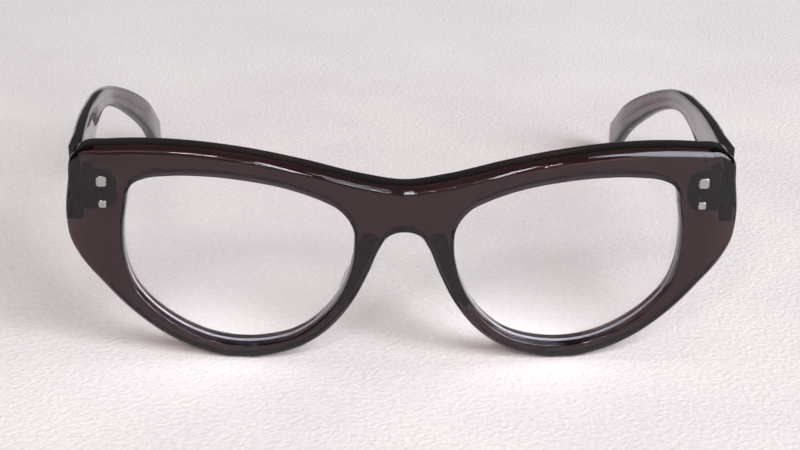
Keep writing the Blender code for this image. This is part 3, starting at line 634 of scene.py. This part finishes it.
def half_front(bm):
    """One half of the front, open along the middle plane."""
    outline = half_outline()
    out = half_normals(outline)
    brow_radii = [front_rounding(point) for point in outline]
    first = faces_and_opening(bm, outline, out, brow_radii)
    outer_wall(bm, first[:len(outline)], outline, out, brow_radii)
    bmesh.ops.remove_doubles(bm, verts=bm.verts, dist=MERGE)


def cut_butt_flats(bm):
    """The flat on each endpiece that the temple closes on."""
    geometry = bm.verts[:] + bm.edges[:] + bm.faces[:]
    cut = bmesh.ops.bisect_plane(bm, geom=geometry, dist=MERGE, plane_co=(0.0, BUTT_Y - HAIR, 0.0),
                                 plane_no=(0.0, 1.0, 0.0), clear_outer=True)
    rims = [edge for edge in edges_of(cut["geom_cut"]) if edge.is_boundary]
    bmesh.ops.holes_fill(bm, edges=rims, sides=0)
    for edge in rims:
        edge.smooth = False


def front_piece():
    bm = bmesh.new()
    half_front(bm)
    geometry = bm.verts[:] + bm.edges[:] + bm.faces[:]
    bmesh.ops.mirror(bm, geom=geometry, matrix=Matrix.Identity(4), merge_dist=MERGE, axis="X")
    bend_to_face(bm)
    cut_butt_flats(bm)
    return made_object("visual_front", bm)


# Lenses and nose pads

def lens_piece():
    """A disc with a bevelled edge, its faces made of rows that shrink towards the middle."""
    opening = opening_outline()
    around = outward_normals(opening)
    inner = shifted(opening, around, -LENS_GAP)
    outer = shifted(opening, around, LENS_BEVEL - LENS_GAP)
    half_land = 0.5 * LENS_EDGE_LAND
    half = half_land + LENS_BEVEL
    middle = centre_of(inner)
    faces = [[middle.lerp(point, share) for point in inner] for share in LENS_FACE_SHARES]
    rows = [flat_points(points, LENS_SETBACK - half) for points in faces]
    rows += [
        flat_points(inner, LENS_SETBACK - half),
        flat_points(outer, LENS_SETBACK - half_land),
        flat_points(outer, LENS_SETBACK + half_land),
        flat_points(inner, LENS_SETBACK + half),
    ]
    rows += [flat_points(points, LENS_SETBACK + half) for points in reversed(faces)]
    bm = bmesh.new()
    stacked(bm, rows)
    bm.normal_update()
    for face in bm.faces:
        face.material_index = 1 if abs(face.normal.y) < LENS_EDGE_TURN_SHARE else 0
    bend_to_face(bm)
    return made_object("visual_lens_left", bm)


def nose_pad_piece():
    """A pad bonded to the back of the rim, narrower and further out towards the face."""
    points = [(x * HALF_WIDTH, z * FRONT_HEIGHT) for x, z in PAD_SHARES]
    foot = closed_course(points, PAD_STEPS)
    middle = centre_of(foot)
    rows = []
    for depth_share, size_share, lean_share in PAD_LAYER_SHARES:
        row = []
        for point in foot:
            flat = middle.lerp(point, size_share)
            y = FRONT_THICKNESS + PAD_GAP + depth_share * PAD_DEPTH + face_curve(flat.x)
            row.append((flat.x + lean_share * PAD_DEPTH, y, flat.y))
        rows.append(row)
    bm = bmesh.new()
    stacked(bm, rows)
    return made_object("visual_nose_pad_left", bm)


# Temples

def temple_line():
    """Depth, height, width and outward bow along the middle of the temple."""
    lift = 0.5 * BUTT_HEIGHT * TEMPLE_SHARES[-1][2] * TIP_LIFT_SHARE
    climb = FRONT_HEIGHT * BUTT_CENTRE_SHARE - lift
    points = []
    for reach, rise, width, bow in TEMPLE_SHARES:
        depth, height = TEMPLE_START_Y + reach * TEMPLE_REACH, lift + rise * climb
        points.append(Vector((depth, height, width * BUTT_HEIGHT, bow * BOW)))
    before = 2.0 * points[0] - points[1]
    after = 2.0 * points[-1] - points[-2]
    return smooth_course(points, before, after, TEMPLE_STEPS)


def temple_section(half_thickness, half_width, outer_rounding):
    """A rounded section with points along its flat sides."""
    radius = min(TEMPLE_ROUNDING, half_thickness)
    outer_radius = min(outer_rounding, half_thickness)
    corners = rounded_rectangle(-half_thickness, half_thickness, -half_width, half_width,
                                radius, outer_radius, CORNER_STEPS)
    section = []
    for i, corner in enumerate(corners):
        before, corner = Vector(corners[i - 1]), Vector(corner)
        side, place = divmod(i, CORNER_STEPS + 1)
        if place == 0:
            cuts = NARROW_CUTS if side % 2 else WIDE_CUTS
            section += [before.lerp(corner, step / cuts) for step in range(1, cuts)]
        section.append(corner)
    return section


def temple_ring(station, slope, half_width, half_thickness, outer_rounding=TEMPLE_OUTER_ROUNDING):
    """A rounded section square to the temple line, leaning more and more towards the tip."""
    depth, height, _, bow = station
    middle_x = TEMPLE_INNER_X + 0.5 * TEMPLE_THICKNESS + bow
    share = (depth - TEMPLE_START_Y) / TEMPLE_REACH
    lean = math.tan(TIP_TWIST) * max((share - TWIST_START_SHARE) / (1.0 - TWIST_START_SHARE), 0.0)
    ring = []
    for point in temple_section(half_thickness, half_width, outer_rounding):
        x, z = middle_x + point.x + lean * point.y, height + point.y * math.cos(slope)
        ring.append((x, depth - point.y * math.sin(slope), max(z, 0.0)))
    return ring


def line_slopes(line):
    """The angle at which the temple line climbs at each station."""
    slopes = []
    for i in range(len(line)):
        ahead = line[min(i + 1, len(line) - 1)] - line[max(i - 1, 0)]
        slopes.append(math.atan2(ahead.y, ahead.x))
    return slopes


def tip_rings(last, ahead, slope):
    """Sections past the last station, which round off the end of the tip."""
    rings = []
    for step in range(TIP_STEPS + 1):
        angle = 0.5 * math.pi * step / TIP_STEPS
        distance = TIP_LENGTH - TIP_END_ROUNDING * (1.0 - math.sin(angle))
        half_width = 0.5 * last[2] - TIP_END_ROUNDING * (1.0 - math.cos(angle))
        half_thickness = 0.5 * TEMPLE_THICKNESS - TEMPLE_ROUNDING * (1.0 - math.cos(angle))
        rings.append(temple_ring(last + ahead * distance, slope, half_width, half_thickness))
    return rings


def temple_rings():
    """Sections along the temple, square at the butt."""
    line = temple_line()
    slopes = line_slopes(line)
    half_thickness = 0.5 * TEMPLE_THICKNESS
    rings = []
    for station, slope in zip(line, slopes):
        share = (station[0] - TEMPLE_START_Y) / TEMPLE_REACH
        away = min(share / BUTT_SQUARE_SHARE, 1.0)
        outer_rounding = SMALL_ROUNDING + (TEMPLE_OUTER_ROUNDING - SMALL_ROUNDING) * away
        rings.append(temple_ring(station, slope * away, 0.5 * station[2], half_thickness, outer_rounding))
    last = line[-1]
    ahead = (last - line[-2]) / (last - line[-2]).xy.length
    return rings + tip_rings(last, ahead, slopes[-1])


def temple_piece():
    bm = bmesh.new()
    stacked(bm, temple_rings())
    return made_object("visual_temple_left", bm)


def core_wire_piece():
    """The wire runs below the hinge plate and then along the middle of the temple."""
    path = []
    for depth, height, _, bow in temple_line():
        share = (depth - TEMPLE_START_Y) / TEMPLE_REACH
        if share > CORE_END_SHARE:
            break
        blend = way_between(share, CORE_LOW_SHARE, CORE_BLEND_SHARE)
        drop = CORE_DROP * (1.0 - blend) ** 2 * (1.0 + 2.0 * blend)
        path.append(Vector((TEMPLE_INNER_X + 0.5 * TEMPLE_THICKNESS + bow, depth, height - drop)))
    path[0].y += CORE_SETBACK
    rows = []
    for i, middle in enumerate(path):
        along = path[min(i + 1, len(path) - 1)] - path[max(i - 1, 0)]
        turn = along.to_track_quat("Y", "Z")
        angles = [2.0 * math.pi * step / CORE_SIDES for step in range(CORE_SIDES)]
        circle = [Vector((math.cos(angle), 0.0, math.sin(angle))) for angle in angles]
        rows.append([middle + turn @ point * CORE_RADIUS for point in circle])
    bm = bmesh.new()
    stacked(bm, rows)
    return made_object("visual_core_wire_left", bm)


# Hinges

def splayed(place):
    """Turns a temple's plate or rivet about the hinge axis, with the straight start of the temple."""
    axis = Vector((HINGE_X, HINGE_Y, 0.0))
    turn = Matrix.Rotation(-TEMPLE_SPLAY, 4, "Z")
    return Matrix.Translation(axis) @ turn @ Matrix.Translation(-axis) @ place


def leaf(bm, length, height):
    """A hinge plate from its rounded far end to its knuckle end, on the XZ plane."""
    outline = rounded_rectangle(-length, KNUCKLE_RADIUS - LEAF_TRIM, -0.5 * height, 0.5 * height,
                                LEAF_END_RADIUS, LEAF_CORNER_RADIUS, LEAF_STEPS)
    slab(bm, outline, -LEAF_THICKNESS, 0.0)


def lug(bm, row):
    """A knuckle with a round end about the hinge axis, rooted in the plate."""
    piece = bmesh.new()
    root = -0.5 * LEAF_THICKNESS
    outline = [(-KNUCKLE_RADIUS, root), (KNUCKLE_RADIUS - LEAF_TRIM, root)]
    for step in range(LUG_STEPS + 1):
        angle = math.pi * step / LUG_STEPS
        outline.append((KNUCKLE_RADIUS * math.cos(angle), HINGE_STANDOFF + KNUCKLE_RADIUS * math.sin(angle)))
    low = -STACK_HALF + row * KNUCKLE_PITCH
    slab(piece, outline, -low - KNUCKLE_HEIGHT, -low)
    bmesh.ops.transform(piece, matrix=Matrix.Rotation(-0.5 * math.pi, 4, "X"), verts=piece.verts)
    bmesh.ops.recalc_face_normals(piece, faces=piece.faces)
    round_off(piece, 0.5 * LEAF_EDGE_ROUNDING)
    pour(piece, bm)


def pour(source, target):
    """Adds a finished mesh to another."""
    mesh = bpy.data.meshes.new("poured")
    source.to_mesh(mesh)
    source.free()
    target.from_mesh(mesh)
    bpy.data.meshes.remove(mesh)


def hinge_piece(name, length, height, rows, place):
    """A plate with its knuckles, which lie in the given rows of the five, counted from one end."""
    bm = bmesh.new()
    leaf(bm, length, height)
    bmesh.ops.recalc_face_normals(bm, faces=bm.faces)
    round_off(bm, LEAF_EDGE_ROUNDING)
    for row in rows:
        lug(bm, row)
    return made_object(name, bm, place)


def temple_leaf_place():
    """Lays a plate in the temple's inner face, with its round end to the rear."""
    turn = Matrix(((0.0, -1.0, 0.0), (-1.0, 0.0, 0.0), (0.0, 0.0, -1.0))).to_4x4()
    return Matrix.Translation((TEMPLE_INNER_X, HINGE_Y, HINGE_Z)) @ turn


def slotted_crown(slot_floor):
    """The two halves of the screw's head beside its slot."""
    crown = bmesh.new()
    bmesh.ops.create_circle(crown, cap_ends=True, segments=SCREW_STEPS, radius=SCREW_HEAD_RADIUS,
                            matrix=Matrix.Translation((0.0, 0.0, slot_floor)))
    for side in (-1.0, 1.0):
        geometry = crown.verts[:] + crown.edges[:] + crown.faces[:]
        wall = (0.0, side * 0.5 * SCREW_SLOT_WIDTH, 0.0)
        bmesh.ops.bisect_plane(crown, geom=geometry, dist=MERGE, plane_co=wall, plane_no=(0.0, 1.0, 0.0))
    slot = [face for face in crown.faces if abs(face.calc_center_median().y) < 0.5 * SCREW_SLOT_WIDTH]
    bmesh.ops.delete(crown, geom=slot, context="FACES")
    raised = bmesh.ops.extrude_face_region(crown, geom=crown.faces[:])
    bmesh.ops.translate(crown, verts=verts_of(raised["geom"]), vec=(0.0, 0.0, SCREW_SLOT_DEPTH))
    bmesh.ops.recalc_face_normals(crown, faces=crown.faces)
    round_off(crown, 0.5 * LEAF_EDGE_ROUNDING)
    return crown


def screw_piece():
    """A turned shaft and head up to the floor of the slot, with the slotted crown above."""
    bm = bmesh.new()
    head_low = STACK_HALF + SEAT_GAP
    slot_floor = head_low + SCREW_HEAD_HEIGHT - SCREW_SLOT_DEPTH
    foot = -STACK_HALF - SEAT_GAP
    turned(bm, ((0.0, foot), (SCREW_RADIUS, foot), (SCREW_RADIUS, head_low), (SCREW_HEAD_RADIUS, head_low),
                (SCREW_HEAD_RADIUS, slot_floor), (0.0, slot_floor)), SCREW_STEPS)
    pour(slotted_crown(slot_floor), bm)
    return made_object("visual_hinge_screw_left", bm, Matrix.Translation((HINGE_X, HINGE_Y, HINGE_Z)))


# Rivets

def rivet_piece(name, width, shank_length, place):
    """A square head with rounded corners and a slight crown, its shank and the button at its end.

    Drawn with the edge of the crown at zero and the shank running along +Y.
    """
    half = 0.5 * width
    corner = half * HEAD_CORNER_SHARE
    square = rounded_rectangle(-half, half, -half, half, corner, corner, HEAD_STEPS)
    rows = [[(x, HEAD_THICKNESS, z) for x, z in square]]
    for size_share, rise_share in HEAD_CROWN_SHARES:
        rows.append([(x * size_share, -HEAD_PROUD * rise_share, z * size_share) for x, z in square])
    bm = bmesh.new()
    stacked(bm, rows)
    stem = bmesh.new()
    start = 0.5 * HEAD_THICKNESS
    profile = [(0.0, start), (SHANK_RADIUS, start), (SHANK_RADIUS, shank_length)]
    for width_share, height_share in BUTTON_SHARES:
        profile.append((width_share * BUTTON_RADIUS, shank_length + height_share * BUTTON_HEIGHT))
    turned(stem, profile, STEM_STEPS)
    bmesh.ops.transform(stem, matrix=Matrix.Rotation(-0.5 * math.pi, 4, "X"), verts=stem.verts)
    pour(stem, bm)
    return made_object(name, bm, place)


# Materials

def from_hex(text):
    """A linear colour from an sRGB hex value."""
    channels = []
    for start in (0, 2, 4):
        value = int(text[start:start + 2], 16) / 255.0
        channels.append(value / 12.92 if value <= 0.04045 else ((value + 0.055) / 1.055) ** 2.4)
    return (*channels, 1.0)


def add_node(tree, kind, settings=None, values=None, links=None):
    """Adds a node with its settings, its socket values and its links."""
    made = tree.nodes.new(kind)
    for name, value in (settings or {}).items():
        setattr(made, name, value)
    for name, value in (values or {}).items():
        made.inputs[name].default_value = value
    for name, socket in (links or {}).items():
        tree.links.new(made.inputs[name], socket)
    return made


def plug(tree, node, links):
    for name, socket in links.items():
        tree.links.new(node.inputs[name], socket)


def new_material(name):
    """A material with its tree, its shader and the object's own coordinates."""
    material = bpy.data.materials.new(name)
    material.use_nodes = True
    tree = material.node_tree
    place = add_node(tree, "ShaderNodeTexCoord").outputs["Object"]
    return material, tree, tree.nodes["Principled BSDF"], place


def tumbled_crystal_acetate():
    """Cellulose acetate sheet, milled and tumble-polished: clear smoky brown-purple depth, wet gloss.

    The colour is in the depth of the sheet, so thin places and edges glow and thick ones go dark.
    """
    material, tree, shader, place = new_material("tumbled_crystal_acetate")
    cloud = add_node(tree, "ShaderNodeTexNoise", values={"Scale": 1.0 / CLOUD_WIDTH, "Detail": 3.0},
                     links={"Vector": place})
    tint = add_node(tree, "ShaderNodeMix", COLOURS, {FIRST: from_hex("FFFAF8"), SECOND: from_hex("F1E8EA")},
                    {FACTOR: cloud.outputs["Fac"]})
    polish = add_node(tree, "ShaderNodeTexNoise", values={"Scale": 1.0 / POLISH_WIDTH, "Detail": 4.0},
                      links={"Vector": place})
    gloss = add_node(tree, "ShaderNodeMapRange", values={**NOISE_RANGE, "To Min": 0.01, "To Max": 0.045},
                     links={"Value": polish.outputs["Fac"]})
    ripple = add_node(tree, "ShaderNodeTexNoise", values={"Scale": 1.0 / RIPPLE_WIDTH, "Detail": 1.0},
                      links={"Vector": place})
    relief = add_node(tree, "ShaderNodeBump", values={"Distance": RIPPLE_DEPTH},
                      links={"Height": ripple.outputs["Fac"]})
    plug(tree, shader, {"Base Color": tint.outputs[MIXED], "Roughness": gloss.outputs["Result"],
                        "Normal": relief.outputs["Normal"]})
    shader.inputs["IOR"].default_value = ACETATE_IOR
    shader.inputs["Transmission Weight"].default_value = 1.0
    depth = add_node(tree, "ShaderNodeVolumeAbsorption",
                     values={"Color": from_hex("92596A"), "Density": ACETATE_DENSITY})
    plug(tree, tree.nodes["Material Output"], {"Volume": depth.outputs["Volume"]})
    return material


def polished_lens_plastic():
    """Allyl resin demo lens: clear, with a trace of wiping marks in its gloss. It casts hardly any shadow."""
    material, tree, shader, place = new_material("polished_lens_plastic")
    stretched = add_node(tree, "ShaderNodeMapping", values={"Scale": WIPE_DENSITY}, links={"Vector": place})
    wiped = add_node(tree, "ShaderNodeTexNoise", values={"Scale": 1.0 / WIPE_WIDTH, "Detail": 4.0},
                     links={"Vector": stretched.outputs["Vector"]})
    tint = add_node(tree, "ShaderNodeMix", COLOURS, {FIRST: from_hex("FEFEFE"), SECOND: from_hex("FAFBFC")},
                    {FACTOR: wiped.outputs["Fac"]})
    gloss = add_node(tree, "ShaderNodeMapRange", values={**NOISE_RANGE, "To Min": 0.0, "To Max": 0.02},
                     links={"Value": wiped.outputs["Fac"]})
    plug(tree, shader, {"Base Color": tint.outputs[MIXED], "Roughness": gloss.outputs["Result"]})
    shader.inputs["IOR"].default_value = RESIN_IOR
    shader.inputs["Transmission Weight"].default_value = 1.0
    ray = add_node(tree, "ShaderNodeLightPath")
    clear = add_node(tree, "ShaderNodeBsdfTransparent", values={"Color": from_hex("F4F4F4")})
    let_through = add_node(tree, "ShaderNodeMixShader", links={"Fac": ray.outputs["Is Shadow Ray"]})
    plug(tree, let_through, {1: shader.outputs["BSDF"], 2: clear.outputs["BSDF"]})
    plug(tree, tree.nodes["Material Output"], {"Surface": let_through.outputs["Shader"]})
    return material


def ground_lens_edge():
    """The same resin where the edging wheel has ground it: frosted, with painted shade that makes it a grey
    line inside the rim.
    """
    material, tree, shader, place = new_material("ground_lens_edge")
    grit = add_node(tree, "ShaderNodeTexNoise", values={"Scale": 1.0 / GRIT_WIDTH, "Detail": 2.0},
                    links={"Vector": place})
    # Painted shade: the frosted edge is coloured mid grey, darker than frosted resin, for the shade it lies
    # in within the rim's groove
    tint = add_node(tree, "ShaderNodeMix", COLOURS, {FIRST: from_hex("98949A"), SECOND: from_hex("827E84")},
                    {FACTOR: grit.outputs["Fac"]})
    frost = add_node(tree, "ShaderNodeMapRange", values={**NOISE_RANGE, "To Min": 0.25, "To Max": 0.40},
                     links={"Value": grit.outputs["Fac"]})
    relief = add_node(tree, "ShaderNodeBump", values={"Distance": GRIT_DEPTH},
                      links={"Height": grit.outputs["Fac"]})
    plug(tree, shader, {"Base Color": tint.outputs[MIXED], "Roughness": frost.outputs["Result"],
                        "Normal": relief.outputs["Normal"]})
    shader.inputs["IOR"].default_value = RESIN_IOR
    shader.inputs["Transmission Weight"].default_value = 0.5
    return material


def worked_metal(name, bright, dull, smooth, rough, marks):
    """A metal whose colour, gloss and relief follow the marks that its tool left."""
    material, tree, shader, place = new_material(name)
    width, density, depth = marks
    stretched = add_node(tree, "ShaderNodeMapping", values={"Scale": density}, links={"Vector": place})
    scratches = add_node(tree, "ShaderNodeTexNoise", values={"Scale": 1.0 / width, "Detail": 3.0},
                         links={"Vector": stretched.outputs["Vector"]})
    tint = add_node(tree, "ShaderNodeMix", COLOURS, {FIRST: from_hex(bright), SECOND: from_hex(dull)},
                    {FACTOR: scratches.outputs["Fac"]})
    gloss = add_node(tree, "ShaderNodeMapRange", values={**NOISE_RANGE, "To Min": smooth, "To Max": rough},
                     links={"Value": scratches.outputs["Fac"]})
    relief = add_node(tree, "ShaderNodeBump", values={"Distance": depth},
                      links={"Height": scratches.outputs["Fac"]})
    plug(tree, shader, {"Base Color": tint.outputs[MIXED], "Roughness": gloss.outputs["Result"],
                        "Normal": relief.outputs["Normal"]})
    shader.inputs["Metallic"].default_value = 1.0
    return material


def polished_nickel_silver():
    """Rivet heads polished with the acetate: pale warm grey with fine wheel marks."""
    return worked_metal("polished_nickel_silver", "B6B4B1", "9E9C99", 0.12, 0.20, WHEEL_MARKS)


def tumbled_nickel_silver():
    """Stamped hinge plates out of the tumbling barrel: satin grey with a grained surface."""
    return worked_metal("tumbled_nickel_silver", "A9A59D", "8E8A83", 0.34, 0.46, BARREL_MARKS)


def turned_stainless_steel():
    """Screws from the lathe: grey, with fine rings that show as streaks."""
    return worked_metal("turned_stainless_steel", "BFC1C3", "8F9194", 0.18, 0.34, LATHE_MARKS)


def drawn_steel_wire():
    """Core wire from the drawing bench: grey, with lines that run along it."""
    return worked_metal("drawn_steel_wire", "B7B8B8", "85868A", 0.2, 0.36, DRAWING_MARKS)


def brushed_plush_cloth():
    """The plain pale plush that the frame stands on: matt, short nap, soft patches, and painted light that
    turns it paler towards the rear.
    """
    material, tree, shader, place = new_material("brushed_plush_cloth")
    patches = add_node(tree, "ShaderNodeTexNoise", values={"Scale": 1.0 / PATCH_WIDTH, "Detail": 2.0},
                       links={"Vector": place})
    spread = add_node(tree, "ShaderNodeMapRange", values={"From Min": 0.35, "From Max": 0.65},
                      links={"Value": patches.outputs["Fac"]})
    patched = add_node(tree, "ShaderNodeMix", COLOURS,
                       {FIRST: from_hex("EBE0DA"), SECOND: from_hex("F3E9E1")},
                       {FACTOR: spread.outputs["Result"]})
    # Painted light: the cloth's colour turns paler towards the rear, as if it were lit more strongly there
    depth = add_node(tree, "ShaderNodeSeparateXYZ", links={"Vector": place})
    rear = add_node(tree, "ShaderNodeMapRange", values={"From Min": PAINTED_LIGHT_START, "From Max": PAINTED_LIGHT_END},
                    links={"Value": depth.outputs["Y"]})
    ground = add_node(tree, "ShaderNodeMix", COLOURS, {SECOND: from_hex("FCF6F1")},
                      {FACTOR: rear.outputs["Result"], FIRST: patched.outputs[MIXED]})
    nap = add_node(tree, "ShaderNodeTexNoise", values={"Scale": 1.0 / NAP_WIDTH, "Detail": 5.0},
                   links={"Vector": place})
    shade = add_node(tree, "ShaderNodeMapRange", values={**NOISE_RANGE, "To Min": 0.90, "To Max": 1.0},
                     links={"Value": nap.outputs["Fac"]})
    tone = add_node(tree, "ShaderNodeMix", {**COLOURS, "blend_type": "MULTIPLY"}, {FACTOR: 1.0},
                    {FIRST: ground.outputs[MIXED], SECOND: shade.outputs["Result"]})
    relief = add_node(tree, "ShaderNodeBump", values={"Distance": NAP_DEPTH},
                      links={"Height": nap.outputs["Fac"]})
    plug(tree, shader, {"Base Color": tone.outputs[MIXED], "Normal": relief.outputs["Normal"]})
    shader.inputs["Roughness"].default_value = 0.95
    shader.inputs["Specular IOR Level"].default_value = 0.15
    return material


# Stage

def make_floor():
    bm = bmesh.new()
    bmesh.ops.create_grid(bm, x_segments=1, y_segments=1, size=FLOOR_REACH,
                          matrix=Matrix.Translation((0.0, 0.0, -FLOOR_GAP)))
    mesh = bpy.data.meshes.new("floor")
    bm.to_mesh(mesh)
    bm.free()
    floor = bpy.data.objects.new("floor", mesh)
    bpy.context.scene.collection.objects.link(floor)
    floor.data.materials.append(brushed_plush_cloth())


def make_lamp(name, place, width, height, power, colour):
    """A flat rectangular lamp that points at the frame."""
    lamp = bpy.data.lights.new(name, "AREA")
    lamp.shape = "RECTANGLE"
    lamp.size = width
    lamp.size_y = height
    lamp.energy = power
    lamp.color = from_hex(colour)[:3]
    obj = bpy.data.objects.new(name, lamp)
    bpy.context.scene.collection.objects.link(obj)
    obj.location = place
    obj.rotation_euler = (Vector(LAMP_TARGET) - Vector(place)).to_track_quat("-Z", "Y").to_euler()


def make_light():
    world = bpy.data.worlds.new("room")
    world.use_nodes = True
    sky = world.node_tree.nodes["Background"]
    sky.inputs["Color"].default_value = from_hex(SKY_COLOUR)
    sky.inputs["Strength"].default_value = SKY_STRENGTH
    bpy.context.scene.world = world
    for lamp in LAMPS:
        make_lamp(*lamp)


def make_camera():
    """Where the photograph was taken from: before the frame and a little above it, looking down."""
    camera = bpy.data.cameras.new("camera")
    camera.lens = LENS_LENGTH
    camera.sensor_width = SENSOR_WIDTH
    camera.clip_start = CAMERA_NEAR
    obj = bpy.data.objects.new("camera", camera)
    bpy.context.scene.collection.objects.link(obj)
    yaw, pitch, roll = CAMERA_YAW, CAMERA_PITCH, CAMERA_ROLL
    look = Vector((math.sin(yaw) * math.cos(pitch), math.cos(yaw) * math.cos(pitch), -math.sin(pitch)))
    level = Vector((math.cos(yaw), -math.sin(yaw), 0.0))
    upright = level.cross(look)
    right = level * math.cos(roll) + upright * math.sin(roll)
    up = right.cross(look)
    turn = Matrix((right, up, -look)).transposed().to_4x4()
    middle = ONTO_FRAME @ Vector(CAMERA_MIDDLE)
    obj.matrix_world = Matrix.Translation(middle - look * CAMERA_DISTANCE) @ turn
    bpy.context.scene.camera = obj


# Assembly

def main():
    acetate = tumbled_crystal_acetate()
    head_metal = polished_nickel_silver()
    plate_metal = tumbled_nickel_silver()
    fixed = "front_assembly"
    swinging = "temple_assembly_{}"

    settle(front_piece(), fixed, [acetate])
    settle_both(lens_piece(), fixed, [polished_lens_plastic(), ground_lens_edge()])
    settle_both(nose_pad_piece(), fixed, [acetate])
    settle_both(temple_piece(), swinging, [acetate])

    hinge = hinge_piece("visual_front_hinge_left", FRONT_LEAF_LENGTH, FRONT_LEAF_HEIGHT, (0, 2, 4),
                        Matrix.Translation((HINGE_X, BUTT_Y, HINGE_Z)))
    settle_both(hinge, fixed, [plate_metal])
    hinge = hinge_piece("visual_temple_hinge_left", TEMPLE_LEAF_LENGTH, TEMPLE_LEAF_HEIGHT, (1, 3),
                        splayed(temple_leaf_place()))
    settle_both(hinge, swinging, [plate_metal])
    settle_both(screw_piece(), fixed, [turned_stainless_steel()])

    face = face_curve(FRONT_RIVET_X)
    for name, width, z in (("upper", LARGE_HEAD_WIDTH, HINGE_Z + UPPER_RIVET_RISE),
                           ("lower", SMALL_HEAD_WIDTH, HINGE_Z - LOWER_RIVET_DROP)):
        place = Matrix.Translation((FRONT_RIVET_X, face, z))
        rivet = rivet_piece(f"visual_front_rivet_{name}_left", width, BUTT_Y + SEAT_GAP - face, place)
        settle_both(rivet, fixed, [head_metal])
    turn = Matrix.Rotation(0.5 * math.pi, 4, "Z")
    for name, width, y in (("front", LARGE_HEAD_WIDTH, HINGE_Y + TEMPLE_RIVET_START),
                           ("rear", SMALL_HEAD_WIDTH, HINGE_Y + TEMPLE_RIVET_START + TEMPLE_RIVET_SPACING)):
        place = splayed(Matrix.Translation((TEMPLE_OUTER_X, y, HINGE_Z)) @ turn)
        rivet = rivet_piece(f"visual_temple_rivet_{name}_left", width, TEMPLE_THICKNESS + SEAT_GAP, place)
        settle_both(rivet, swinging, [head_metal])

    settle_both(core_wire_piece(), swinging, [drawn_steel_wire()])

    make_floor()
    make_light()
    make_camera()
    bpy.context.scene.view_settings.view_transform = "Standard"


main()
